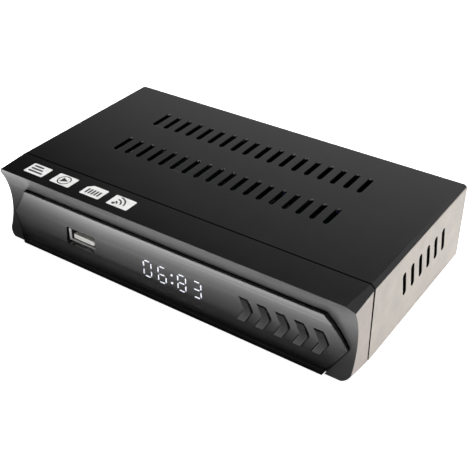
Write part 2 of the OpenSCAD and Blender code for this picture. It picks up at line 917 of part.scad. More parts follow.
// Digit display: bars lie across (flat) or upright, in the order a to g
bar_flat = [true, false, false, true, false, false, true];
bar_places = [[0, 1], [0.5, 0.5], [0.5, -0.5], [0, -1], [-0.5, -0.5], [-0.5, 0.5], [0, 0]];
bars_of_digit = [
    [1, 1, 1, 1, 1, 1, 0], [0, 1, 1, 0, 0, 0, 0], [1, 1, 0, 1, 1, 0, 1], [1, 1, 1, 1, 0, 0, 1],
    [0, 1, 1, 0, 0, 1, 1], [1, 0, 1, 1, 0, 1, 1], [1, 0, 1, 1, 1, 1, 1], [1, 1, 1, 0, 0, 0, 0],
    [1, 1, 1, 1, 1, 1, 1], [1, 1, 1, 1, 0, 1, 1]
];
digit_places = [-pair_gap / 2 - digit_pitch, -pair_gap / 2, pair_gap / 2, pair_gap / 2 + digit_pitch];

colon_dot = bar_width * 1.6;

module bar(length) {
    tip = bar_width / 2;
    polygon([
        [-length / 2, 0], [-length / 2 + tip, -tip], [length / 2 - tip, -tip],
        [length / 2, 0], [length / 2 - tip, tip], [-length / 2 + tip, tip]
    ]);
}

module segments(lit)
    for (d = [0 : 3], b = [0 : 6])
        if (bars_of_digit[shown_digits[d]][b] == lit)
            translate([
                digit_places[d] + bar_places[b][0] * digit_width,
                bar_places[b][1] * digit_height / 2
            ])
                rotate(bar_flat[b] ? 0 : 90)
                    bar((bar_flat[b] ? digit_width : digit_height / 2) - bar_width / 2);

module on_display()
    along_y(display_front - segment_depth, display_front)
        translate([display_offset, display_middle])
            children();

module digit_display()
    color("#101010")
        block([display_offset - display_width / 2, display_offset + display_width / 2],
            [display_front, front_board_front],
            [display_middle - display_height / 2, display_middle + display_height / 2]);

module lit_segments()
    color("white")
        on_display() {
            segments(1);
            for (s = [-1, 1])
                translate([0, s * digit_height / 4])
                    circle(d = colon_dot);
        }

module dark_segments()
    color("#303030")
        on_display()
            segments(0);

module infrared_receiver()
    color("#15151a")
        union() {
            block([receiver_x - receiver_width / 2, receiver_x + receiver_width / 2],
                [front_board_front - receiver_depth, front_board_front],
                [receiver_z - receiver_height / 2, receiver_z + receiver_height / 2]);
            translate([receiver_x, front_board_front - receiver_depth, receiver_z])
                sphere(d = receiver_lens);
        }

module standby_lamp()
    color("firebrick")
        translate([lamp_x, front_board_front, receiver_z])
            rotate([90, 0, 0]) {
                cylinder(d = lamp_diameter + lamp_rim, h = lamp_rim);
                cylinder(d = lamp_diameter, h = lamp_length);
                translate([0, 0, lamp_length])
                    sphere(d = lamp_diameter);
            }

// Main board, with a tab that carries the front socket
module main_board()
    color("darkgreen")
        difference() {
            union() {
                block([-board_half, board_half], [board_front, board_back], [board_low, board_top]);
                block([usb_x - usb_width / 2 - usb_tab_side, usb_x + usb_width / 2 + usb_tab_side],
                    [usb_tab_front, board_front + small], [board_low, board_top]);
            }
            board_screw_spots()
                rod_z(0, 0, screw_hole, board_low - past, board_top + past);
        }

module board_screw_spots()
    for (sx = [-1, 1], y = [board_screw_front, board_screw_back])
        translate([sx * board_screw_x, y, 0])
            children();

module main_board_screws()
    color("gray")
        board_screw_spots()
            translate([0, 0, board_top])
                pan_screw(board_thickness + screw_grip);

module board_standoffs()
    color("goldenrod")
        board_screw_spots()
            difference() {
                rod_z(0, 0, standoff_diameter, sheet, board_low);
                rod_z(0, 0, thread_hole, sheet + small, board_low + past);
            }

// USB socket: the contacts lie on the tongue's upper side
usb_tongue_low = usb_low + usb_tongue_lift;
usb_tongue_high = usb_tongue_low + usb_tongue_thickness;
usb_tongue_front = usb_front + usb_tongue_set_back;
usb_inner_back = usb_back - usb_back_wall;
usb_tongue_round = 0.8;
usb_contact_height = 0.15;

module usb_shell()
    color("gainsboro")
        difference() {
            along_y(usb_front, usb_back)
                translate([usb_x, usb_middle])
                    rounded_plate(usb_width + 2 * usb_wall, usb_height + 2 * usb_wall, usb_corner);
            along_y(usb_front - past, usb_inner_back)
                translate([usb_x, usb_middle])
                    square([usb_width, usb_height], center = true);
        }

module usb_tongue()
    color("ivory")
        intersection() {
            along_y(usb_tongue_front, usb_inner_back)
                translate([usb_x, (usb_tongue_low + usb_tongue_high) / 2])
                    rounded_plate(usb_tongue_width, usb_tongue_thickness, usb_tongue_round);
            translate([usb_x, (usb_tongue_front + usb_inner_back) / 2, 0])
                linear_extrude(body_height)
                    rounded_plate(usb_tongue_width, usb_inner_back - usb_tongue_front, usb_tongue_round);
        }

module usb_contacts()
    color("gold")
        for (i = [-1.5 : 1.5])
            translate([usb_x + i * usb_contact_pitch, 0, 0])
                block([-usb_contact_width / 2, usb_contact_width / 2],
                    [usb_tongue_front + 2 * usb_tongue_round, usb_inner_back - usb_tongue_round],
                    [usb_tongue_high, usb_tongue_high + usb_contact_height]);

// Tuner and aerial sockets
lid_line = 0.35;
lid_half = tuner_width / 2 - lid_line;
tuner_top = board_top + tuner_height;

module tuner_can()
    color("silver")
        difference() {
            block([-tuner_offset - tuner_width / 2, -tuner_offset + tuner_width / 2],
                [board_back - tuner_depth, board_back], [board_top, tuner_top]);
            difference() {
                block([-tuner_offset - tuner_width, -tuner_offset + tuner_width],
                    [board_back - tuner_depth - past, board_back + past],
                    [tuner_top - tuner_lid - lid_line, tuner_top - tuner_lid]);
                block([-tuner_offset - lid_half, -tuner_offset + lid_half],
                    [board_back - tuner_depth + lid_line, board_back - lid_line], [0, body_height]);
            }
        }

module aerial_barrel(x, outer, inner)
    difference() {
        union() {
            rod_y(x, aerial_z, aerial_base, board_back, body_depth);
            rod_y(x, aerial_z, outer, body_depth - small, aerial_end);
        }
        rod_y(x, aerial_z, inner, aerial_floor, aerial_end + past);
    }

module aerial_input()
    color("silver")
        aerial_barrel(aerial_in_x, aerial_in_diameter + 2 * aerial_wall, aerial_in_diameter);

module aerial_output()
    color("silver")
        aerial_barrel(aerial_out_x, aerial_out_diameter, aerial_out_diameter - 2 * aerial_wall);

module aerial_input_core()
    color("white")
        difference() {
            union() {
                rod_y(aerial_in_x, aerial_z, aerial_in_diameter - aerial_core_gap,
                    aerial_floor, aerial_disc_end);
                rod_y(aerial_in_x, aerial_z, aerial_contact,
                    aerial_disc_end - small, aerial_end - aerial_wall);
            }
            rod_y(aerial_in_x, aerial_z, aerial_pin + aerial_core_gap, aerial_disc_end, aerial_end + past);
        }

module aerial_output_core()
    color("white")
        union() {
            rod_y(aerial_out_x, aerial_z, aerial_out_diameter - 2 * aerial_wall - aerial_core_gap,
                aerial_floor, aerial_disc_end);
            rod_y(aerial_out_x, aerial_z, aerial_pin, aerial_disc_end - small, aerial_end - aerial_wall);
        }

// Video socket: flat top, slanted lower corners
module video_outline(inset) {
    w = video_width / 2 - inset;
    h = video_height / 2 - inset;
    step = video_slant;
    polygon([
        [-w, h], [-w, -h + 2 * step], [-w + step, -h + step], [-w + step, -h],
        [w - step, -h], [w - step, -h + step], [w, -h + 2 * step], [w, h]
    ]);
}

module video_socket()
    color("silver")
        difference() {
            along_y(video_front, video_back)
                translate([video_offset, video_z])
                    video_outline(0);
            along_y(video_floor, video_back + past)
                translate([video_offset, video_z])
                    video_outline(video_wall);
        }

module video_tongue()
    color("black")
        translate([video_offset, 0, video_z + video_wall])
            along_y(video_floor, video_back - 2 * video_wall)
                square([video_tongue_width, video_tongue_thickness], center = true);

module av_jack()
    color("#181818")
        difference() {
            union() {
                block([jack_offset - jack_body / 2, jack_offset + jack_body / 2],
                    [jack_front, rear_inside - socket_gap], [board_top, board_top + jack_body]);
                rod_y(jack_offset, jack_z, jack_nose, rear_inside - 2 * socket_gap, jack_end);
            }
            rod_y(jack_offset, jack_z, jack_bore, jack_end - jack_bore_depth, jack_end + past);
        }

module dc_inlet()
    color("#181818")
        difference() {
            union() {
                block([inlet_offset - inlet_width / 2, inlet_offset + inlet_width / 2],
                    [inlet_end - inlet_depth, inlet_end],
                    [inlet_z - inlet_height / 2, inlet_z + inlet_height / 2]);
                block([inlet_offset - inlet_width / 3, inlet_offset + inlet_width / 3],
                    [inlet_end - inlet_depth, board_back], [board_top, inlet_z]);
            }
            rod_y(inlet_offset, inlet_z, inlet_bore, inlet_floor, inlet_end + past);
        }

module dc_inlet_pin()
    color("silver")
        rod_y(inlet_offset, inlet_z, inlet_pin_diameter, inlet_floor, body_depth);

// Parts on the main board
chip_x = 8;
chip_set_back = 3;
chip_y = board_mid - chip_set_back;
chip_gap = 9.5;
part_gap = 2;
memory_x = chip_x + sink_size / 2 + chip_gap + memory_width / 2;
regulator_x = memory_x + memory_width / 2 + regulator_width / 2 + part_gap;
inductor_x = regulator_x + regulator_width / 2 + inductor_size / 2 + part_gap;
part_row = inductor_size + part_gap;

module chip(x, y, w, d, h)
    translate([x, y, board_top + h / 2])
        cube([w, d, h], center = true);

module processor()
    color("#202020")
        chip(chip_x, chip_y, processor_size, processor_size, processor_height);

module heat_sink()
    color("lightslategray")
        translate([chip_x - sink_size / 2, chip_y - sink_size / 2, board_top + processor_height]) {
            cube([sink_size, sink_size, sink_base]);
            for (i = [0 : sink_fin_count - 1])
                translate([i * (sink_size - sink_fin) / (sink_fin_count - 1), 0, 0])
                    cube([sink_fin, sink_size, sink_height]);
        }

module memory_chip()
    color("#202020")
        chip(memory_x, chip_y, memory_width, memory_depth, memory_height);

module flash_chip()
    color("#202020")
        chip(memory_x, chip_y - memory_depth / 2 - flash_size, flash_size, flash_size, flash_height);

module crystal()
    color("silver")
        translate([chip_x - sink_size / 2 - crystal_width - part_gap, chip_y, board_top])
            linear_extrude(crystal_height)
                slot(crystal_length, crystal_width);

capacitor_rim = 0.5;
capacitor_pitch = capacitor_diameter + part_gap;
capacitor_y = inlet_end - inlet_depth - capacitor_diameter;
capacitor_spots = [
    [inlet_offset - capacitor_pitch, capacitor_y],
    [inlet_offset, capacitor_y],
    [inlet_offset + capacitor_pitch, capacitor_y],
    [(video_offset + jack_offset) / 2, jack_front - capacitor_diameter],
    [video_offset - video_width / 2, video_front - capacitor_diameter]
];

module capacitors()
    color("#26324a")
        for (p = capacitor_spots)
            translate([p[0], p[1], board_top]) {
                cylinder(d = capacitor_diameter, h = capacitor_height);
                cylinder(d = capacitor_diameter + capacitor_rim, h = 2 * capacitor_rim);
            }

module inductors()
    color("#2e2e2e")
        for (i = [0, 1])
            chip(inductor_x, chip_y - i * part_row, inductor_size, inductor_size, inductor_height);

module regulators()
    color("#202020")
        for (i = [0, 1])
            chip(regulator_x, chip_y - i * part_row, regulator_width, regulator_depth, regulator_height);

// Ribbon between the boards: a quarter turn from one socket to the other
ribbon_x = chip_x;
ribbon_low = board_top + ribbon_socket;
ribbon_front = front_board_back + ribbon_socket;
ribbon_side = 1.5;

module ribbon_cable()
    color("lightgray")
        translate([ribbon_x, ribbon_front, ribbon_low])
            rotate([90, 0, 90])
                rotate_extrude(angle = 90)
                    translate([ribbon_turn - ribbon_thickness / 2, -ribbon_width / 2])
                        square([ribbon_thickness, ribbon_width]);

module ribbon_socket_body(y, z)
    translate([ribbon_x, y, z])
        cube([ribbon_width + 2 * ribbon_side, ribbon_socket, ribbon_socket], center = true);

module ribbon_sockets()
    color("ivory") {
        ribbon_socket_body(ribbon_front - ribbon_socket / 2, ribbon_low + ribbon_turn);
        ribbon_socket_body(ribbon_front + ribbon_turn, ribbon_low - ribbon_socket / 2);
    }

module cover_screws()
    color("gray")
        for (s = [-1, 1])
            translate([s * cover_screw_offset, body_depth, cover_screw_height])
                rotate([-90, 0, 0])
                    pan_screw(2 * sheet + screw_grip);

module rubber_feet()
    color("#222222")
        for (s = [-1, 1], y = [foot_end_inset, body_depth - foot_end_inset / 2])
            translate([s * (half_width - foot_side_inset), y, -foot_height])
                cylinder(d = foot_diameter, h = foot_height);

// Stands the object on its feet, with its footprint's middle at the origin
module placed()
    translate([0, -overall_depth / 2, foot_height])
        children();

placed() top_cover();
placed() chassis_tray();
placed() front_panel();
placed() display_window();
placed() arrow_key(1);  // arrow_key_1
placed() arrow_key(2);  // arrow_key_2
placed() arrow_key(3);  // arrow_key_3
placed() arrow_key(4);  // arrow_key_4
placed() arrow_key(5);  // arrow_key_5
placed() key_plunger(1);  // key_plunger_1
placed() key_plunger(2);  // key_plunger_2
placed() key_plunger(3);  // key_plunger_3
placed() key_plunger(4);  // key_plunger_4
placed() key_plunger(5);  // key_plunger_5
placed() key_switches();
placed() front_board();
placed() front_board_screws();
placed() digit_display();
placed() lit_segments();
placed() dark_segments();
placed() infrared_receiver();
placed() standby_lamp();
placed() main_board();
placed() main_board_screws();
placed() board_standoffs();
placed() usb_shell();
placed() usb_tongue();
placed() usb_contacts();
placed() tuner_can();
placed() aerial_input();
placed() aerial_input_core();
placed() aerial_output();
placed() aerial_output_core();
placed() video_socket();
placed() video_tongue();
placed() av_jack();
placed() dc_inlet();
placed() dc_inlet_pin();
placed() processor();
placed() heat_sink();
placed() memory_chip();
placed() flash_chip();
placed() crystal();
placed() capacitors();
placed() inductors();
placed() regulators();
placed() ribbon_cable();
placed() ribbon_sockets();
placed() cover_screws();
placed() rubber_feet();
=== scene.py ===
import json
import math
import bmesh
import bpy
from mathutils import Matrix, Vector

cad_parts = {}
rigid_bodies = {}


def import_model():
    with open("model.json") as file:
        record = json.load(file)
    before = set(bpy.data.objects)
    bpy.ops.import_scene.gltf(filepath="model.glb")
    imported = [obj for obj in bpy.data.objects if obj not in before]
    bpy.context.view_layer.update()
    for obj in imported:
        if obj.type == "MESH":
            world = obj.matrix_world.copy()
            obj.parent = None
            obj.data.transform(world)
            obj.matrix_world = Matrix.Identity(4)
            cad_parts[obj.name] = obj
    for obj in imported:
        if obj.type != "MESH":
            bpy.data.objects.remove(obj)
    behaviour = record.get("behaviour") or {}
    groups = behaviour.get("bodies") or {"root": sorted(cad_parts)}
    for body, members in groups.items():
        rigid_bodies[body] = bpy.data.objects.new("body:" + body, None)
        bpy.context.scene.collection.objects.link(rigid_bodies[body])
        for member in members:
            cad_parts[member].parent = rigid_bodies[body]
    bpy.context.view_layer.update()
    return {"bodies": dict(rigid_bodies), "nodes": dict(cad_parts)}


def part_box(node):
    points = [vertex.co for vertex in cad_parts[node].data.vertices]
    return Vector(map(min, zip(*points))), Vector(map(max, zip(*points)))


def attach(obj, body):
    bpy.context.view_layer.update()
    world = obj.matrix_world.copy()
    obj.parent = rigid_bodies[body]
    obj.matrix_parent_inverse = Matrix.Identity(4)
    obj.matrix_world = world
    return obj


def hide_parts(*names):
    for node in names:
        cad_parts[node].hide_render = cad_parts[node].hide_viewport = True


# start from an empty file, so that the box below is the receiver's alone
for leftover in list(bpy.data.objects):
    bpy.data.objects.remove(leftover)

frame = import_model()
nodes = frame["nodes"]
mm = 0.001
print("receiver loaded:", len(nodes), "nodes")

# where the product's own zero sits in the frame: front top edge, underside of the case
panelLow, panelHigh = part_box("front_panel")
coverLow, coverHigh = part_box("top_cover")
frontEdge = panelLow.y
caseFloor = panelLow.z
caseTop = panelHigh.z
sideSlack = 0.3 * mm
panelSpots = [v.co for v in nodes["front_panel"].data.vertices]
panelSeam = max(spot.y for spot in panelSpots if abs(spot.x) > panelHigh.x - sideSlack)


# small tools for wiring shader nodes

def newFinish(name):
    finish = bpy.data.materials.new(name)
    finish.use_nodes = True
    tree = finish.node_tree
    return finish, tree, tree.nodes["Principled BSDF"]


def wire(tree, source, target):
    tree.links.new(source, target)


def objectPlace(tree):
    return tree.nodes.new("ShaderNodeTexCoord").outputs["Object"]


def stretched(tree, scale):
    mapping = tree.nodes.new("ShaderNodeMapping")
    mapping.inputs["Scale"].default_value = scale
    wire(tree, objectPlace(tree), mapping.inputs["Vector"])
    return mapping.outputs["Vector"]


def grain(tree, size, detail=3.0, roughness=0.55, place=None):
    noise = tree.nodes.new("ShaderNodeTexNoise")
    noise.inputs["Scale"].default_value = 1.0 / size
    noise.inputs["Detail"].default_value = detail
    noise.inputs["Roughness"].default_value = roughness
    wire(tree, place or objectPlace(tree), noise.inputs["Vector"])
    return noise.outputs["Fac"]


plainDetail = 2.0
richDetail = 4.0
brushRoughness = 0.5


def brushed(tree, size, direction):
    return grain(tree, size, plainDetail, brushRoughness, stretched(tree, direction))


def cells(tree, size, feature="F1", place=None):
    voronoi = tree.nodes.new("ShaderNodeTexVoronoi")
    voronoi.feature = feature
    voronoi.inputs["Scale"].default_value = 1.0 / size
    wire(tree, place or objectPlace(tree), voronoi.inputs["Vector"])
    return voronoi


def spread(tree, factor, low, high, fromLow=0.3, fromHigh=0.7):
    span = tree.nodes.new("ShaderNodeMapRange")
    span.inputs["From Min"].default_value = fromLow
    span.inputs["From Max"].default_value = fromHigh
    span.inputs["To Min"].default_value = low
    span.inputs["To Max"].default_value = high
    wire(tree, factor, span.inputs["Value"])
    return span.outputs["Result"]


def tones(tree, factor, stops):
    ramp = tree.nodes.new("ShaderNodeValToRGB")
    band = ramp.color_ramp
    while len(band.elements) < len(stops):
        band.elements.new(0.5)
    for element, (place, colour) in zip(band.elements, stops):
        element.position = place
        element.color = (*colour, 1.0)
    wire(tree, factor, ramp.inputs["Fac"])
    return ramp.outputs["Color"]


def shaded(tree, factor, dark, light, low=0.3, high=0.7):
    return tones(tree, factor, [(low, dark), (high, light)])


def darker(colour, share):
    return tuple(share * c for c in colour)


def sums(tree, operation, first, second):
    node = tree.nodes.new("ShaderNodeMath")
    node.operation = operation
    for socket, value in zip(node.inputs, (first, second)):
        if isinstance(value, (int, float)):
            socket.default_value = value
        else:
            wire(tree, value, socket)
    return node.outputs["Value"]


def blend(tree, first, second, share):
    rest = sums(tree, "MULTIPLY", second, 1 - share)
    return sums(tree, "ADD", sums(tree, "MULTIPLY", first, share), rest)


def between(tree, factor, first, second):
    mix = tree.nodes.new("ShaderNodeMix")
    mix.data_type = "RGBA"
    wire(tree, factor, mix.inputs["Factor"])
    wire(tree, first, mix.inputs["A"])
    wire(tree, second, mix.inputs["B"])
    return mix.outputs["Result"]


def axes(tree):
    split = tree.nodes.new("ShaderNodeSeparateXYZ")
    wire(tree, objectPlace(tree), split.inputs["Vector"])
    return split.outputs["X"], split.outputs["Y"], split.outputs["Z"]


def facing(tree, axis):
    split = tree.nodes.new("ShaderNodeSeparateXYZ")
    wire(tree, tree.nodes.new("ShaderNodeTexCoord").outputs["Normal"], split.inputs["Vector"])
    return split.outputs[axis]


def facingFront(tree, fully=-0.75, none=-0.4):
    return spread(tree, facing(tree, "Y"), 1.0, 0.0, fully, none)


def facingEitherWay(tree, axis, none, fully):
    return spread(tree, sums(tree, "ABSOLUTE", facing(tree, axis), 0.0), 0.0, 1.0, none, fully)


def relief(tree, shader, height, strength, depth):
    bump = tree.nodes.new("ShaderNodeBump")
    bump.inputs["Strength"].default_value = strength
    bump.inputs["Distance"].default_value = depth
    wire(tree, height, bump.inputs["Height"])
    wire(tree, bump.outputs["Normal"], shader.inputs["Normal"])


# finishes of moulded and rolled pieces, each from a few numbers
midTones = (0.35, 0.65)
mouldDepth = 0.2  # share of the grain's size
lineShare = 0.4
lineDepth = 0.02 * mm


def mouldedFinish(name, look):
    finish, tree, shader = newFinish(name)
    cloud = grain(tree, look["cloud"])
    fine = grain(tree, look["grain"], plainDetail)
    wire(tree, shaded(tree, cloud, look["dark"], look["light"], *midTones), shader.inputs["Base Color"])
    wire(tree, spread(tree, fine, *look["roughness"]), shader.inputs["Roughness"])
    relief(tree, shader, fine, look["relief"], look["grain"] * mouldDepth)
    shader.inputs["Metallic"].default_value = look.get("metallic", 0.0)
    shader.inputs["Specular IOR Level"].default_value = look.get("specular", 0.5)
    shader.inputs["Coat Weight"].default_value = look.get("coat", 0.0)
    shader.inputs["Coat Roughness"].default_value = look.get("coatRoughness", 0.1)
    return finish


def rolledFinish(name, look):
    finish, tree, shader = newFinish(name)
    lines = brushed(tree, look["lineWidth"], look["direction"])
    cloud = grain(tree, look["cloud"], richDetail)
    both = blend(tree, lines, cloud, lineShare)
    wire(tree, shaded(tree, both, look["dark"], look["light"], *midTones), shader.inputs["Base Color"])
    wire(tree, spread(tree, both, *look["roughness"]), shader.inputs["Roughness"])
    relief(tree, shader, lines, look["relief"], lineDepth)
    shader.inputs["Metallic"].default_value = look["metallic"]
    return finish


# case finish: glossy black above, pale satin metal colour on the sides below a border that rises to the
# back
caseLook = {
    "blackDark": (0.0022, 0.0022, 0.0024),
    "blackLight": (0.0040, 0.0040, 0.0042),
    "blackRoughness": (0.11, 0.16),
    "paintGrain": 0.28 * mm,
    "paintRelief": 0.06,
    "paintDepth": 0.15,
    "metalDark": (0.264, 0.238, 0.208),
    "metalLight": (0.376, 0.339, 0.300),
    "metalRoughness": (0.34, 0.50),
    "metalTones": (0.36, 0.64),
    "metalShare": 0.55,
    "blotch": 9.0 * mm,
    "blotchShare": 0.75,
    "rollLine": 0.35 * mm,
    "rollStretch": (1.0, 0.06, 1.0),
    "sideSkin": 0.25 * mm,
    "sideTurn": (0.55, 0.75),
    "borderFront": 29.3 * mm,
    "borderRise": 0.0068,
    "borderSoft": 0.10 * mm,
    "slotEndBareAndLit": (0.36, 0.355, 0.34),
    "slotShade": 0.85,
    "slotFrom": 8.0 * mm,
    "slotSoft": 1.0 * mm,
    "slotDepth": (1.2 * mm, 1.0 * mm),
}
# painted light and shade: the panel's face is painted paler towards its top where the floor's light falls,
# its upper strip paler still to fill the shade under the window's raised edge, and its left cheek darker
# as painted shade
# tones stand at heights in mm above the case's underside
panelLook = {
    "blackDark": (0.0025, 0.0025, 0.0026),
    "blackLight": (0.0040, 0.0040, 0.0042),
    "blackRoughness": (0.12, 0.15),
    "paintGrain": 0.45 * mm,
    "paintRelief": 0.012,
    "metalDark": (0.240, 0.208, 0.188),
    "metalLight": (0.332, 0.288, 0.264),
    "facePaintedLight": [(8.0, 0.036), (22.0, 0.094), (28.0, 0.102)],
    "stripPaintedLight": [
        (8.0, 0.036), (22.0, 0.170), (23.0, 0.170), (24.2, 0.13), (26.0, 0.102), (28.0, 0.102),
    ],
    "leftPaintedShade": [(8.0, 0.010), (22.0, 0.036), (28.0, 0.040)],
    "leftFrom": (-66.0 * mm, -61.0 * mm),
    "stripHalf": 63.0 * mm,
    "stripSoft": 2.0 * mm,
    "faceMottle": 1.0 * mm,
    "faceRoughness": 0.20,
    "borderFront": 28.15 * mm,
    "borderRise": 0.088,
}


def byHeight(tree, up, stops):
    low, high = stops[0][0], stops[-1][0]
    share = spread(tree, up, 0.0, 1.0, caseFloor + low * mm, caseFloor + high * mm)
    return tones(tree, share, [((z - low) / (high - low), (tone,) * 3) for z, tone in stops])


# painted light and shade on the panel's face: paler up high, paler still above the window, darker on the
# left cheek
def frontPaintedLight(tree, look, across, up, cloud):
    uneven = sums(tree, "MULTIPLY", sums(tree, "SUBTRACT", cloud, 0.5), look["faceMottle"])
    height = sums(tree, "ADD", up, uneven)
    face = byHeight(tree, height, look["facePaintedLight"])
    strip = byHeight(tree, height, look["stripPaintedLight"])
    left = byHeight(tree, height, look["leftPaintedShade"])
    outside = sums(tree, "SUBTRACT", sums(tree, "ABSOLUTE", across, 0.0), look["stripHalf"])
    face = between(tree, spread(tree, across, 0.0, 1.0, *look["leftFrom"]), left, face)
    pastStrip = spread(tree, outside, 0.0, 1.0, -look["stripSoft"], look["stripSoft"])
    return between(tree, pastStrip, strip, face)


# front-facing walls of the punched slots in the top: pale as bare cut steel, and partly a painted
# highlight standing in for the glints at the slot ends
def bareAndLitSlotEnds(tree, look, along, up):
    slotStart = coverLow.y + look["slotFrom"]
    behind = spread(tree, along, 0.0, 1.0, slotStart, slotStart + look["slotSoft"])
    onTop = spread(tree, up, 0.0, 1.0, *(caseTop - d for d in look["slotDepth"]))
    return sums(tree, "MULTIPLY", sums(tree, "MULTIPLY", behind, onTop), facingFront(tree))


def twoToneFinish(name, look):
    finish, tree, shader = newFinish(name)
    across, along, up = axes(tree)
    outer = sums(tree, "SUBTRACT", sums(tree, "ABSOLUTE", across, 0.0), coverHigh.x - look["sideSkin"])
    onSide = spread(tree, outer, 0.0, 1.0, 0.0, look["borderSoft"])
    rise = sums(tree, "MULTIPLY", sums(tree, "SUBTRACT", along, frontEdge), look["borderRise"])
    border = sums(tree, "ADD", rise, caseFloor + look["borderFront"])
    below = spread(tree, sums(tree, "SUBTRACT", border, up), 0.0, 1.0, 0.0, look["borderSoft"])
    sideways = facingEitherWay(tree, "X", *look["sideTurn"])
    paleSides = sums(tree, "MULTIPLY", sums(tree, "MULTIPLY", onSide, below), sideways)
    cloud = grain(tree, look["blotch"], richDetail)
    fine = grain(tree, look["paintGrain"], plainDetail)
    roll = brushed(tree, look["rollLine"], look["rollStretch"])
    worn = blend(tree, cloud, roll, look["blotchShare"])
    black = shaded(tree, cloud, look["blackDark"], look["blackLight"], *midTones)
    blackRough = spread(tree, fine, *look["blackRoughness"])
    if "facePaintedLight" in look:
        front = facingFront(tree)
        black = between(tree, front, black, frontPaintedLight(tree, look, across, up, cloud))
        blackRough = sums(tree, "ADD", blackRough, sums(tree, "MULTIPLY", front, look["faceRoughness"]))
    else:
        # slot walls that face the front get a pale colour: bare cut steel, partly painted highlight
        edge = shaded(tree, fine, darker(look["slotEndBareAndLit"], look["slotShade"]), look["slotEndBareAndLit"])
        black = between(tree, bareAndLitSlotEnds(tree, look, along, up), black, edge)
    metal = shaded(tree, worn, look["metalDark"], look["metalLight"], *look["metalTones"])
    wire(tree, between(tree, paleSides, black, metal), shader.inputs["Base Color"])
    wire(tree, sums(tree, "MULTIPLY", paleSides, look["metalShare"]), shader.inputs["Metallic"])
    metalRough = sums(tree, "MULTIPLY", spread(tree, worn, *look["metalRoughness"]), paleSides)
    painted = sums(tree, "MULTIPLY", blackRough, sums(tree, "SUBTRACT", 1.0, paleSides))
    wire(tree, sums(tree, "ADD", painted, metalRough), shader.inputs["Roughness"])
    relief(tree, shader, fine, look["paintRelief"], look["paintGrain"] * look["paintDepth"])
    return finish


# smoked window: dark clear acrylic with a hard gloss coat, and a matt black line along its left slants
# that is painted shadow of the gap beside the window
windowLook = {
    "tint": (0.045, 0.045, 0.048),
    "edge": (0.0015, 0.0015, 0.0015),
    "hazeShade": 0.85,
    "roughness": (0.02, 0.04),
    "haze": 6.0 * mm,
    "coat": 1.0,
    "coatRoughness": 0.07,
    "coatIndex": 1.5,
    "refraction": 1.49,
    "slantShadowLine": (0.50 * mm, 0.60 * mm),
    "frontTurn": (0.5, 0.75),
}
frontLimit = -0.5  # a face whose normal lies below this looks to the front
cornerSlack = 0.1 * mm


# the three left corners of the window's face
def frontOutlineLeft():
    mesh = nodes["display_window"].data
    fronts = [p for p in mesh.polygons if p.normal.y < frontLimit]
    spots = [mesh.vertices[i].co for p in fronts for i in p.vertices]
    low, high = min(s.z for s in spots), max(s.z for s in spots)
    tip = min(spots, key=lambda s: s.x)
    top = min((s for s in spots if s.z > high - cornerSlack), key=lambda s: s.x)
    foot = min((s for s in spots if s.z < low + cornerSlack), key=lambda s: s.x)
    return tip, top, foot


# how far a spot of the window lies to the right of the line through two corners
def rightOf(tree, across, up, lower, upper):
    run, climb = upper.x - lower.x, upper.z - lower.z
    size = math.hypot(run, climb)
    sideways = sums(tree, "MULTIPLY", sums(tree, "SUBTRACT", across, lower.x), climb / size)
    upwards = sums(tree, "MULTIPLY", sums(tree, "SUBTRACT", up, lower.z), run / size)
    return sums(tree, "SUBTRACT", sideways, upwards)


def windowFinish(name, look):
    finish, tree, shader = newFinish(name)
    haze = grain(tree, look["haze"])
    wire(tree, spread(tree, haze, *look["roughness"]), shader.inputs["Roughness"])
    clear = shaded(tree, haze, darker(look["tint"], look["hazeShade"]), look["tint"])
    rim = shaded(tree, haze, darker(look["edge"], look["hazeShade"]), look["edge"])
    broad = facingEitherWay(tree, "Y", *look["frontTurn"])
    across, _, up = axes(tree)
    tip, top, foot = frontOutlineLeft()
    upper, lower = rightOf(tree, across, up, tip, top), rightOf(tree, across, up, foot, tip)
    # painted shadow: a matt black line without gloss coat along the window's left slants
    glossy = spread(tree, sums(tree, "MINIMUM", upper, lower), 0.0, 1.0, *look["slantShadowLine"])
    smoked = sums(tree, "MULTIPLY", broad, glossy)
    wire(tree, between(tree, smoked, rim, clear), shader.inputs["Base Color"])
    wire(tree, sums(tree, "MULTIPLY", glossy, look["coat"]), shader.inputs["Coat Weight"])
    shader.inputs["Coat Weight"].default_value = look["coat"]
    shader.inputs["Transmission Weight"].default_value = 1.0
    shader.inputs["IOR"].default_value = look["refraction"]
    shader.inputs["Coat Roughness"].default_value = look["coatRoughness"]
    shader.inputs["Coat IOR"].default_value = look["coatIndex"]
    shader.inputs["Specular IOR Level"].default_value = 0.0
    return finish


# lit bars of the clock, cool white with whiter spots, taller than the solids and set apart
litLook = {
    "edge": (0.88, 0.92, 0.98),
    "middle": (1.0, 1.0, 1.0),
    "cell": 0.5 * mm,
    "strength": 30.0,
    "stretch": 1.16,
    "parting": 0.85 * mm,
    "slim": 0.80,
    "dotScale": 1.1,
    "longRatio": 1.5,
    "roughness": 0.5,
}


def litFinish(name, look):
    finish, tree, shader = newFinish(name)
    glow = shaded(tree, grain(tree, look["cell"]), look["edge"], look["middle"])
    wire(tree, glow, shader.inputs["Emission Color"])
    wire(tree, glow, shader.inputs["Base Color"])
    shader.inputs["Emission Strength"].default_value = look["strength"]
    shader.inputs["Roughness"].default_value = look["roughness"]
    return finish


# circuit board: green lacquer over copper tracks, with bright solder dots
boardLook = {
    "lacquer": (0.006, 0.030, 0.014),
    "track": (0.011, 0.052, 0.024),
    "pad": (0.52, 0.50, 0.46),
    "shade": 0.8,
    "trackPitch": 6.4 * mm,
    "trackStretch": (1.0, 0.45, 1.0),
    "trackEdge": (0.06, 0.09),
    "padPitch": 3.2 * mm,
    "padEdge": (0.10, 0.13),
    "padMetal": 0.9,
    "cloud": 5.0 * mm,
    "roughness": (0.28, 0.42),
    "relief": 0.3,
    "reliefDepth": 0.04 * mm,
}


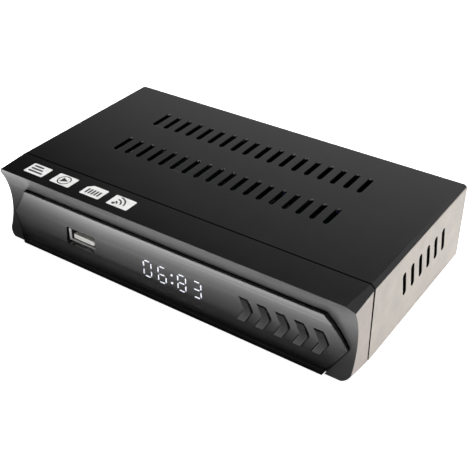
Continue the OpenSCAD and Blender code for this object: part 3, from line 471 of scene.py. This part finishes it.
def boardFinish(name, look):
    finish, tree, shader = newFinish(name)
    runs = cells(tree, look["trackPitch"], "DISTANCE_TO_EDGE", stretched(tree, look["trackStretch"]))
    dots = cells(tree, look["padPitch"])
    trackMask = spread(tree, runs.outputs["Distance"], 1.0, 0.0, *look["trackEdge"])
    padMask = spread(tree, dots.outputs["Distance"], 1.0, 0.0, *look["padEdge"])
    cloud = grain(tree, look["cloud"])
    lacquer = shaded(tree, cloud, darker(look["lacquer"], look["shade"]), look["lacquer"])
    track = shaded(tree, cloud, look["lacquer"], look["track"])
    pad = shaded(tree, cloud, darker(look["pad"], look["shade"]), look["pad"])
    tracked = between(tree, trackMask, lacquer, track)
    wire(tree, between(tree, padMask, tracked, pad), shader.inputs["Base Color"])
    wire(tree, sums(tree, "MULTIPLY", padMask, look["padMetal"]), shader.inputs["Metallic"])
    wire(tree, spread(tree, cloud, *look["roughness"]), shader.inputs["Roughness"])
    raised = sums(tree, "ADD", trackMask, padMask)
    relief(tree, shader, raised, look["relief"], look["reliefDepth"])
    return finish


# galvanised tray: crystal flakes over steel; the faces that look to the front, mostly the rear wall's
# inner side, take near-black painted shade so the box looks dark through the slots
trayLook = {
    "dark": (0.305, 0.308, 0.312),
    "light": (0.375, 0.378, 0.382),
    "flake": 1.6 * mm,
    "flakeShare": 0.45,
    "cloud": 4.8 * mm,
    "stops": (0.2, 0.8),
    "roughness": (0.34, 0.46),
    "metallic": 0.92,
    "inside": (0.012, 0.012, 0.012),
    "insideShade": 0.7,
    "pit": 0.4 * mm,
    "relief": 0.06,
    "reliefDepth": 0.03 * mm,
}


def galvanisedFinish(name, look):
    finish, tree, shader = newFinish(name)
    flakes = cells(tree, look["flake"])
    tone = tree.nodes.new("ShaderNodeSeparateColor")
    wire(tree, flakes.outputs["Color"], tone.inputs["Color"])
    cloud = grain(tree, look["cloud"], richDetail)
    both = blend(tree, tone.outputs["Red"], cloud, look["flakeShare"])
    flaked = shaded(tree, both, look["dark"], look["light"], *look["stops"])
    # painted shade on the faces that look to the front
    paintedShadeTone = shaded(tree, both, darker(look["inside"], look["insideShade"]), look["inside"], *look["stops"])
    wire(tree, between(tree, facingFront(tree), flaked, paintedShadeTone), shader.inputs["Base Color"])
    wire(tree, spread(tree, both, *look["roughness"], *look["stops"]), shader.inputs["Roughness"])
    relief(tree, shader, grain(tree, look["pit"]), look["relief"], look["reliefDepth"])
    shader.inputs["Metallic"].default_value = look["metallic"]
    return finish


# pressed shell of the front socket: painted light, near white, at the mouth, and painted shade further in
# and on the faces that look to the front, rim and back wall
shellLook = {
    "litMouthDark": (0.92, 0.915, 0.90),
    "litMouthLight": (0.97, 0.965, 0.95),
    "shadeDeepDark": (0.010, 0.010, 0.010),
    "shadeDeepLight": (0.020, 0.019, 0.018),
    "mouthDepth": (0.9 * mm, 1.2 * mm),
    "cloud": 1.5 * mm,
    "roughness": (0.32, 0.44),
    "metallic": 0.06,
}


def shellFinish(name, look):
    finish, tree, shader = newFinish(name)
    _, along, _ = axes(tree)
    cloud = grain(tree, look["cloud"], richDetail)
    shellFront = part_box("usb_shell")[0].y
    mouth = spread(tree, along, 1.0, 0.0, *(shellFront + d for d in look["mouthDepth"]))
    # painted light near the mouth; painted shade deeper in and on faces that look to the front
    bright = sums(tree, "MULTIPLY", mouth, sums(tree, "SUBTRACT", 1.0, facingFront(tree)))
    pale = shaded(tree, cloud, look["litMouthDark"], look["litMouthLight"], *midTones)
    paintedShadeDeep = shaded(tree, cloud, look["shadeDeepDark"], look["shadeDeepLight"], *midTones)
    wire(tree, between(tree, bright, paintedShadeDeep, pale), shader.inputs["Base Color"])
    wire(tree, spread(tree, cloud, *look["roughness"]), shader.inputs["Roughness"])
    shader.inputs["Metallic"].default_value = look["metallic"]
    return finish


# plain finishes, by the name of the slot that they fill
mouldedLooks = {
    "key_plastic": {
        "dark": (0.015, 0.015, 0.016), "light": (0.021, 0.021, 0.022), "cloud": 4 * mm,
        "grain": 0.3 * mm, "roughness": (0.20, 0.28), "relief": 0.04, "coat": 0.3, "coatRoughness": 0.2,
    },
    "black_plastic": {
        "dark": (0.009, 0.009, 0.0095), "light": (0.017, 0.017, 0.018), "cloud": 3 * mm,
        "grain": 0.2 * mm, "roughness": (0.38, 0.52), "relief": 0.15,
    },
    "dark_plastic": {
        "dark": (0.016, 0.016, 0.017), "light": (0.024, 0.024, 0.026), "cloud": 1 * mm,
        "grain": 0.1 * mm, "roughness": (0.5, 0.6), "relief": 0.05,
    },
    "dark_lens": {
        "dark": (0.010, 0.006, 0.008), "light": (0.018, 0.010, 0.013), "cloud": 2 * mm,
        "grain": 0.2 * mm, "roughness": (0.12, 0.2), "relief": 0.03, "coat": 0.5,
    },
    "red_lens": {
        "dark": (0.22, 0.010, 0.008), "light": (0.34, 0.018, 0.012), "cloud": 1.5 * mm,
        "grain": 0.2 * mm, "roughness": (0.15, 0.25), "relief": 0.03, "coat": 0.5,
    },
    "white_plastic": {
        "dark": (0.70, 0.69, 0.655), "light": (0.82, 0.81, 0.775), "cloud": 3 * mm,
        "grain": 0.15 * mm, "roughness": (0.34, 0.46), "relief": 0.08,
    },
    "chip_plastic": {
        "dark": (0.010, 0.010, 0.0105), "light": (0.020, 0.020, 0.021), "cloud": 2 * mm,
        "grain": 0.12 * mm, "roughness": (0.5, 0.66), "relief": 0.25,
    },
    "capacitor_sleeve": {
        "dark": (0.010, 0.014, 0.030), "light": (0.016, 0.022, 0.046), "cloud": 4 * mm,
        "grain": 0.3 * mm, "roughness": (0.25, 0.35), "relief": 0.05, "coat": 0.3,
    },
    "ferrite": {
        "dark": (0.030, 0.029, 0.028), "light": (0.055, 0.053, 0.051), "cloud": 1.5 * mm,
        "grain": 0.12 * mm, "roughness": (0.55, 0.75), "relief": 0.4,
    },
    "foot_rubber": {
        "dark": (0.013, 0.013, 0.013), "light": (0.024, 0.024, 0.024), "cloud": 3 * mm,
        "grain": 0.25 * mm, "roughness": (0.68, 0.85), "relief": 0.5, "specular": 0.3,
    },
}
rolledLooks = {
    "screw_steel": {
        "dark": (0.42, 0.42, 0.43), "light": (0.66, 0.66, 0.67), "cloud": 2 * mm, "lineWidth": 0.1 * mm,
        "direction": (1, 1, 6), "roughness": (0.22, 0.38), "relief": 0.15, "metallic": 1.0,
    },
    "socket_metal": {
        "dark": (0.58, 0.57, 0.55), "light": (0.80, 0.79, 0.77), "cloud": 3 * mm, "lineWidth": 0.12 * mm,
        "direction": (6, 1, 6), "roughness": (0.16, 0.30), "relief": 0.08, "metallic": 1.0,
    },
    "standoff_brass": {
        "dark": (0.50, 0.36, 0.14), "light": (0.68, 0.52, 0.24), "cloud": 2 * mm, "lineWidth": 0.1 * mm,
        "direction": (1, 1, 8), "roughness": (0.2, 0.35), "relief": 0.1, "metallic": 1.0,
    },
    "contact_gold": {
        "dark": (0.66, 0.45, 0.15), "light": (0.84, 0.62, 0.26), "cloud": 1 * mm, "lineWidth": 0.05 * mm,
        "direction": (6, 1, 1), "roughness": (0.15, 0.28), "relief": 0.05, "metallic": 1.0,
    },
    "can_steel": {
        "dark": (0.48, 0.48, 0.48), "light": (0.68, 0.68, 0.67), "cloud": 8 * mm, "lineWidth": 0.2 * mm,
        "direction": (0.1, 1, 1), "roughness": (0.25, 0.4), "relief": 0.1, "metallic": 1.0,
    },
    "sink_aluminium": {
        "dark": (0.030, 0.030, 0.032), "light": (0.052, 0.052, 0.055), "cloud": 5 * mm,
        "lineWidth": 0.15 * mm, "direction": (1, 0.05, 1), "roughness": (0.35, 0.5), "relief": 0.15,
        "metallic": 0.7,
    },
    "ribbon_plastic": {
        "dark": (0.50, 0.51, 0.52), "light": (0.72, 0.73, 0.74), "cloud": 3 * mm, "lineWidth": 0.6 * mm,
        "direction": (1, 0.01, 0.01), "roughness": (0.35, 0.45), "relief": 0.6, "metallic": 0.0,
    },
}

finishes = {
    "cover_paint": twoToneFinish("coverPaint", caseLook),
    "panel_plastic": twoToneFinish("panelPlastic", {**caseLook, **panelLook}),
    "window_acrylic": windowFinish("windowAcrylic", windowLook),
    "lit_plastic": litFinish("litBars", litLook),
    "board_green": boardFinish("boardLacquer", boardLook),
    "tray_steel": galvanisedFinish("traySteel", trayLook),
    "usb_metal": shellFinish("usbMetal", shellLook),
}
for slotName, look in mouldedLooks.items():
    finishes[slotName] = mouldedFinish(slotName + "Finish", look)
for slotName, look in rolledLooks.items():
    finishes[slotName] = rolledFinish(slotName + "Finish", look)
ownFinish = {"usb_shell": "usb_metal"}
slotOf = {}
for nodeName, node in nodes.items():
    slotOf[nodeName] = node.data.materials[0].name
    node.data.materials[0] = finishes[ownFinish.get(nodeName, slotOf[nodeName])]
print("finishes made:", len(finishes))


# edges as the mould or the press leaves them, between two depths in mm behind the front
edgeLook = {
    "display_window": {
        "round": 0.22 * mm, "steps": 1, "reach": (-1.0, 5.0), "upperOnly": True, "body": "case",
    },
    "front_panel": {
        "round": 0.16 * mm, "steps": 2, "reach": (-1.0, 9.0), "seamCut": 0.65 * mm, "body": "case",
    },
    "top_cover": {"round": 0.18 * mm, "steps": 2, "reach": (18.0, 80.0), "body": "case"},
}
for keyBody in [b for b in frame["bodies"] if b.startswith("key_")]:
    keyNode = "arrow_" + keyBody
    edgeLook[keyNode] = {"round": 0.15 * mm, "steps": 2, "reach": (-1.0, 5.0), "body": keyBody}
weldGap = 0.02 * mm
flatAngle = math.radians(0.4)
creaseAngle = math.radians(20)
edgeAngle = math.radians(60)
leanLimit = 0.25
openingTop = 20 * mm
seamSlack = 0.08 * mm
roundProfile = 0.5
evenWeight = 80


def within(edge, reach):
    depths = [(v.co.y - frontEdge) / mm for v in edge.verts]
    return min(depths) > reach[0] and max(depths) < reach[1]


def facesUp(edge):
    walls = [f.normal for f in edge.link_faces if f.normal.y > frontLimit]
    return any(n.z > leanLimit and n.x > -leanLimit for n in walls)


def atOpening(edge):
    spot = (edge.verts[0].co + edge.verts[1].co) / 2
    left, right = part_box("usb_shell")[0].x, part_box("arrow_key_5")[1].x
    return left < spot.x < right and spot.z < caseFloor + openingTop


def atSideSeam(spot):
    return abs(spot.y - panelSeam) < seamSlack and abs(spot.x) > panelHigh.x - seamSlack


def bevelled(work, edges, size, steps):
    made = bmesh.ops.bevel(work, geom=edges, offset=size, offset_type="OFFSET", segments=steps,
                           profile=roundProfile, affect="EDGES", clamp_overlap=False)
    return made["faces"]


def meshPiece(name, work, finish):
    mesh = bpy.data.meshes.new(name)
    work.to_mesh(mesh)
    work.free()
    mesh.materials.append(finish)
    piece = bpy.data.objects.new(name, mesh)
    bpy.context.scene.collection.objects.link(piece)
    return piece


def roundedPiece(nodeName, look):
    source = nodes[nodeName].data
    work = bmesh.new()
    corners = [work.verts.new(v.co) for v in source.vertices]
    for polygon in source.polygons:
        work.faces.new([corners[i] for i in polygon.vertices])
    bmesh.ops.remove_doubles(work, verts=work.verts, dist=weldGap)
    bmesh.ops.dissolve_limit(work, angle_limit=flatAngle, verts=work.verts, edges=work.edges)
    for face in work.faces:
        face.smooth = not (face.normal.z > leanLimit and abs(face.normal.x) > leanLimit)
    creased = [e for e in work.edges if e.is_manifold and e.calc_face_angle() > creaseAngle]
    for edge in creased + [e for f in work.faces if not f.smooth for e in f.edges]:
        edge.smooth = False
    turned = [e for e in creased if e.calc_face_angle() > edgeAngle and within(e, look["reach"])]
    if look.get("upperOnly"):
        turned = [e for e in turned if facesUp(e) and not atOpening(e)]
    made = bevelled(work, turned, look["round"], look["steps"])
    if "seamCut" in look:
        seam = [e for e in work.edges if all(atSideSeam(v.co) for v in e.verts)]
        sharp = [e for e in seam if e.calc_face_angle(0) > edgeAngle]
        for face in bevelled(work, sharp, look["seamCut"], 1):
            face.smooth = False
    for face in made:
        face.smooth = look["steps"] > 1
        for edge in face.edges:
            edge.smooth = True
    piece = meshPiece(nodeName + "Rounded", work, finishes[slotOf[nodeName]])
    if look["steps"] > 1:
        even = piece.modifiers.new("evenShading", "WEIGHTED_NORMAL")
        even.weight = evenWeight
        even.keep_sharp = True
    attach(piece, look["body"])
    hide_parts(nodeName)
    return piece


for nodeName, look in edgeLook.items():
    piece = roundedPiece(nodeName, look)
    print("rounded:", nodeName, len(piece.data.polygons), "faces")


# the bars of the lit digits one by one
def islands(work):
    left = set(work.verts)
    while left:
        group, reached = set(), [left.pop()]
        while reached:
            spot = reached.pop()
            group.add(spot)
            near = {e.other_vert(spot) for e in spot.link_edges} & left
            left -= near
            reached.extend(near)
        yield list(group)


def partedBars(nodeName, look):
    work = bmesh.new()
    work.from_mesh(nodes[nodeName].data)
    bmesh.ops.remove_doubles(work, verts=work.verts, dist=weldGap)
    base = min(v.co.z for v in work.verts)
    for group in islands(work):
        low = Vector([min(v.co[k] for v in group) for k in range(3)])
        high = Vector([max(v.co[k] for v in group) for k in range(3)])
        middle, span = (low + high) / 2, high - low
        wide = tall = look["slim"]
        if span.x > look["longRatio"] * span.z:
            wide = 1 - look["parting"] / span.x
        elif span.z > look["longRatio"] * span.x:
            tall = look["stretch"] - look["parting"] / span.z
        else:
            wide = tall = look["dotScale"]
        lifted = base + (middle.z - base) * look["stretch"]
        for spot in group:
            spot.co.x = middle.x + (spot.co.x - middle.x) * wide
            spot.co.z = lifted + (spot.co.z - middle.z) * tall
    piece = meshPiece(nodeName + "Parted", work, finishes[slotOf[nodeName]])
    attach(piece, "case")
    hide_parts(nodeName)


partedBars("lit_segments", litLook)
print("lit bars set apart")


# white feature stickers on the panel's top band, with plain motifs; all lengths in mm
labelLook = {
    "spans": [(-65.0, -55.8), (-51.8, -42.6), (-37.2, -28.3), (-24.6, -15.3)],
    "depth": (3.95, 10.35),
    "corner": 0.5,
    "cardCut": 1.8,
    "cutSlack": 0.005,
    "thickness": 0.04,
    "inkThickness": 0.015,
    "paper": {
        "dark": (0.78, 0.78, 0.77), "light": (0.88, 0.88, 0.87), "cloud": 2 * mm,
        "grain": 0.1 * mm, "roughness": (0.45, 0.6), "relief": 0.08,
    },
    "rows": {"count": 3, "inset": 1.2, "pitch": 1.7, "thick": 0.9, "shorter": 1.1, "corner": 0.3},
    "play": {"back": 1.2, "half": 1.5, "nose": 1.7, "ring": (2.8, 2.3), "turn": (0, 350)},
    "stripes": {
        "count": 5, "inset": 1.4, "pitch": 1.35, "thick": 0.8, "near": 1.3, "far": 2.1, "corner": 0.2,
    },
    "waves": {
        "count": 3, "inset": (2.2, 1.5), "dot": (0.7, 0.05), "dotTurn": (0, 355), "ring": (1.6, 1.0),
        "pitch": 1.5, "turn": (5, 85),
    },
    "ink": {
        "dark": (0.012, 0.012, 0.013), "light": (0.022, 0.022, 0.023), "cloud": 0.6 * mm,
        "grain": 0.08 * mm, "roughness": (0.5, 0.65), "relief": 0.05,
    },
}
paperFinish = mouldedFinish("labelPaper", labelLook["paper"])
inkFinish = mouldedFinish("labelInk", labelLook["ink"])


def slab(work, outline, low, high):
    base = [work.verts.new((x * mm, frontEdge + y * mm, low)) for x, y in outline]
    top = [work.verts.new((x * mm, frontEdge + y * mm, high)) for x, y in outline]
    count = len(outline)
    work.faces.new(top)
    work.faces.new(list(reversed(base)))
    for i in range(count):
        j = (i + 1) % count
        work.faces.new([base[i], base[j], top[j], top[i]])


def roundedRectangle(left, right, near, far, corner, steps=4):
    points = []
    centres = [(right - corner, near + corner, -90), (right - corner, far - corner, 0),
               (left + corner, far - corner, 90), (left + corner, near + corner, 180)]
    for x, y, start in centres:
        for k in range(steps + 1):
            turn = math.radians(start + 90 * k / steps)
            points.append((x + corner * math.cos(turn), y + corner * math.sin(turn)))
    return points


def plate(name, outlines, low, high, finish):
    work = bmesh.new()
    for outline in outlines:
        slab(work, outline, low, high)
    piece = meshPiece(name, work, finish)
    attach(piece, "case")
    return piece


def ringOutline(x, y, outer, inner, start, end, steps=14):
    turns = [math.radians(start + (end - start) * k / steps) for k in range(steps + 1)]
    far = [(x + outer * math.cos(t), y + outer * math.sin(t)) for t in turns]
    return far + [(x + inner * math.cos(t), y + inner * math.sin(t)) for t in reversed(turns)]


def rowsMotif(look, left, right, near, far):
    rows = []
    for k in range(look["count"]):
        low = near + look["inset"] + k * look["pitch"]
        end = right - look["inset"] - look["shorter"] * k
        rows.append(roundedRectangle(left + look["inset"], end, low, low + look["thick"], look["corner"]))
    return rows


def playMotif(look, left, right, near, far):
    x, y = (left + right) / 2, (near + far) / 2
    back, half = x - look["back"], look["half"]
    arrow = [(back, y - half), (x + look["nose"], y), (back, y + half)]
    return [arrow, ringOutline(x, y, *look["ring"], *look["turn"])]


def stripesMotif(look, left, right, near, far):
    starts = [left + look["inset"] + k * look["pitch"] for k in range(look["count"])]
    low, high = near + look["near"], far - look["far"]
    return [roundedRectangle(x, x + look["thick"], low, high, look["corner"]) for x in starts]


def wavesMotif(look, left, right, near, far):
    x, y = left + look["inset"][0], near + look["inset"][1]
    waves = [ringOutline(x, y, *look["dot"], *look["dotTurn"])]
    for k in range(look["count"]):
        outer, inner = (radius + k * look["pitch"] for radius in look["ring"])
        waves.append(ringOutline(x, y, outer, inner, *look["turn"]))
    return waves


# the striped label has its far left corner cut off, as a card has
def cutCorner(outline, look, left, far):
    corner, cut = look["corner"], look["cardCut"]
    kept = [p for p in outline if p[0] > left + corner or p[1] < far - corner - look["cutSlack"]]
    kept = [p for p in kept if p[0] > left + cut or p[1] < far - cut]
    last = max(i for i, p in enumerate(kept) if p[1] > far - look["cutSlack"])
    return kept[:last + 1] + [(left + cut, far), (left, far - cut)] + kept[last + 1:]


def featureLabels(look):
    motifs = {"rows": rowsMotif, "play": playMotif, "stripes": stripesMotif, "waves": wavesMotif}
    near, far = look["depth"]
    paperTop = caseTop + look["thickness"] * mm
    for number, ((left, right), name) in enumerate(zip(look["spans"], motifs), 1):
        outline = roundedRectangle(left, right, near, far, look["corner"])
        if name == "stripes":
            outline = cutCorner(outline, look, left, far)
        marks = motifs[name](look[name], left, right, near, far)
        paper = plate(f"featureLabel{number}", [outline], caseTop, paperTop, paperFinish)
        inkTop = paperTop + look["inkThickness"] * mm
        ink = plate(f"featureMotif{number}", marks, paperTop, inkTop, inkFinish)


featureLabels(labelLook)
print("labels laid on the top band")


# floor, light and camera
stageLook = {
    "paperColour": (0.86, 0.86, 0.86),
    "paperShade": 0.98,
    "paperCloud": 0.4,
    "paperRoughness": 0.9,
    "floorSize": 30.0,
    "floorGlow": 0.95,
    "backdropReach": 5.0,
    "backdropHeight": 4.0,
    "backdropGlow": 1.2,
    "cardFar": 4.5,
    "cardHalf": 4.0,
    "cardGlow": 1.85,
    "cardLeast": 0.03,
    "cardHalfway": 13 * mm,
    "cardFade": 2.6,
    "cardLeft": (-95 * mm, -45 * mm),
    "cardLeftGlow": 0.45,
    "cardLift": 0.5 * mm,
    "cardCloud": 0.05,
    "cardDark": (0.004, 0.004, 0.004),
    "cardLight": (0.006, 0.006, 0.006),
    "skyMost": 1.0,
    "skyLeast": 0.04,
    "skyAcross": -1.112,
    "skyBack": 3.938,
    "skyOffset": -2.93,
}
white = (1.0, 1.0, 1.0, 1.0)


def sheet(name, corners, finish):
    mesh = bpy.data.meshes.new(name)
    mesh.from_pydata(corners, [], [(0, 1, 2, 3)])
    mesh.materials.append(finish)
    piece = bpy.data.objects.new(name, mesh)
    bpy.context.scene.collection.objects.link(piece)
    return piece


def stagePaper(name, look, glow):
    finish, tree, shader = newFinish(name)
    cloud = grain(tree, look["paperCloud"], plainDetail)
    paper = shaded(tree, cloud, darker(look["paperColour"], look["paperShade"]), look["paperColour"])
    wire(tree, paper, shader.inputs["Base Color"])
    shader.inputs["Emission Color"].default_value = white
    shader.inputs["Emission Strength"].default_value = glow
    shader.inputs["Roughness"].default_value = look["paperRoughness"]
    shader.inputs["Specular IOR Level"].default_value = 0.0
    return finish


def layFloor(look):
    finish = stagePaper("floorPaper", look, look["floorGlow"])
    half = look["floorSize"] / 2
    sheet("floor", [(-half, -half, 0), (half, -half, 0), (half, half, 0), (-half, half, 0)], finish)


# pale wall all round, seen by the camera alone
def hangBackdrop(look):
    finish = stagePaper("backdropPaper", look, look["backdropGlow"])
    reach = look["backdropReach"]
    ends = [(-reach, -reach), (reach, -reach), (reach, reach), (-reach, reach)]
    top = look["backdropHeight"]
    for number, (start, end) in enumerate(zip(ends, ends[1:] + ends[:1]), 1):
        wall = sheet(f"backdrop{number}", [(*start, 0), (*end, 0), (*end, top), (*start, top)], finish)
        wall.visible_diffuse = False
        wall.visible_glossy = False
        wall.visible_transmission = False
        wall.visible_shadow = False


# card on the floor that only the gloss sees: bright near the front, fading ahead of it
def layCard(look):
    finish, tree, shader = newFinish("blackCard")
    cloud = grain(tree, look["cardCloud"], plainDetail)
    wire(tree, shaded(tree, cloud, look["cardDark"], look["cardLight"]), shader.inputs["Base Color"])
    shader.inputs["Roughness"].default_value = look["paperRoughness"]
    shader.inputs["Specular IOR Level"].default_value = 0.0
    across, along, _ = axes(tree)
    ahead = sums(tree, "DIVIDE", sums(tree, "SUBTRACT", frontEdge, along), look["cardHalfway"])
    fade = sums(tree, "ADD", sums(tree, "POWER", ahead, look["cardFade"]), 1.0)
    level = sums(tree, "DIVIDE", look["cardGlow"], fade)
    shade = spread(tree, across, look["cardLeftGlow"], 1.0, *look["cardLeft"])
    glow = sums(tree, "ADD", sums(tree, "MULTIPLY", level, shade), look["cardLeast"])
    shader.inputs["Emission Color"].default_value = white
    wire(tree, glow, shader.inputs["Emission Strength"])
    near, far = frontEdge, frontEdge - look["cardFar"]
    half, lift = look["cardHalf"], look["cardLift"]
    corners = [(-half, far, lift), (half, far, lift), (half, near, lift), (-half, near, lift)]
    card = sheet("reflectionCard", corners, finish)
    card.visible_camera = False
    card.visible_diffuse = False
    card.visible_shadow = False
    card.visible_transmission = False


# sky that is bright to the back left and dark elsewhere
def dimSky(look):
    world = bpy.data.worlds.new("studio")
    bpy.context.scene.world = world
    world.use_nodes = True
    tree = world.node_tree
    glow = tree.nodes["Background"]
    split = tree.nodes.new("ShaderNodeSeparateXYZ")
    wire(tree, tree.nodes.new("ShaderNodeTexCoord").outputs["Generated"], split.inputs["Vector"])
    across = sums(tree, "MULTIPLY", split.outputs["X"], look["skyAcross"])
    back = sums(tree, "MULTIPLY", split.outputs["Y"], look["skyBack"])
    lean = sums(tree, "ADD", sums(tree, "ADD", across, back), look["skyOffset"])
    limits = look["skyLeast"], look["skyMost"]
    wire(tree, spread(tree, lean, *limits, *limits), glow.inputs["Strength"])
    glow.inputs["Color"].default_value = white


# lamps: an unmirrored one leaves no glare on the black top, and "only" names the pieces that a lamp lights
softLights = {
    "overhead": {
        "place": (0.10, 0.35, 1.05), "aim": (0.0, 0.0, 0.0), "size": 0.9, "power": 10.0, "mirrored": False,
    },
    "topSheen": {"place": (0.0, 0.25, 1.05), "aim": (0.0, 0.0, 0.0), "size": 1.4, "power": 4.0},
    "backRight": {"place": (0.66, 0.82, 0.55), "aim": (0.05, 0.0, 0.03), "size": 0.9, "power": 1.3},
    "rightFill": {"place": (0.89, -0.77, 0.17), "aim": (0.05, 0.0, 0.02), "size": 1.2, "power": 3.6},
    "windowKey": {
        "place": (-0.58, -0.98, 0.60), "aim": (-0.58, 0.0, 0.0), "size": 0.9, "height": 0.25, "power": 2.4,
        "only": ["display_windowRounded"],
    },
}


def hangLight(name, look):
    lamp = bpy.data.lights.new(name, "AREA")
    lamp.shape = "RECTANGLE" if "height" in look else "DISK"
    lamp.size = look["size"]
    lamp.size_y = look.get("height", look["size"])
    lamp.energy = look["power"]
    holder = bpy.data.objects.new(name, lamp)
    bpy.context.scene.collection.objects.link(holder)
    holder.location = look["place"]
    aim = Vector(look["aim"]) - Vector(look["place"])
    holder.rotation_euler = aim.to_track_quat("-Z", "Y").to_euler()
    holder.visible_camera = False
    holder.visible_glossy = look.get("mirrored", True)
    if "only" in look:
        lit = bpy.data.collections.new(name + "Pieces")
        for pieceName in look["only"]:
            lit.objects.link(bpy.data.objects[pieceName])
        holder.light_linking.receiver_collection = lit


cameraLook = {
    "place": (0.1625, -0.2357, 0.1996),
    "right": (0.82507, 0.56501, -0.00424),
    "up": (-0.31609, 0.46777, 0.82540),
    "forward": (-0.46834, 0.67967, -0.56454),
    "lens": 68.22,
    "sensor": 36.0,
    "near": 5 * mm,
}


def setCamera(look):
    optics = bpy.data.cameras.new("photoCamera")
    optics.lens = look["lens"]
    optics.sensor_width = look["sensor"]
    optics.clip_start = look["near"]
    holder = bpy.data.objects.new("photoCamera", optics)
    bpy.context.scene.collection.objects.link(holder)
    turn = Matrix((look["right"], look["up"], [-c for c in look["forward"]])).transposed()
    holder.matrix_world = Matrix.Translation(look["place"]) @ turn.to_4x4()
    bpy.context.scene.camera = holder


layFloor(stageLook)
hangBackdrop(stageLook)
layCard(stageLook)
dimSky(stageLook)
for lightName, look in softLights.items():
    hangLight(lightName, look)
setCamera(cameraLook)
bpy.context.scene.view_settings.view_transform = "Standard"
print("stage, lights and camera set")

bpy.context.view_layer.update()
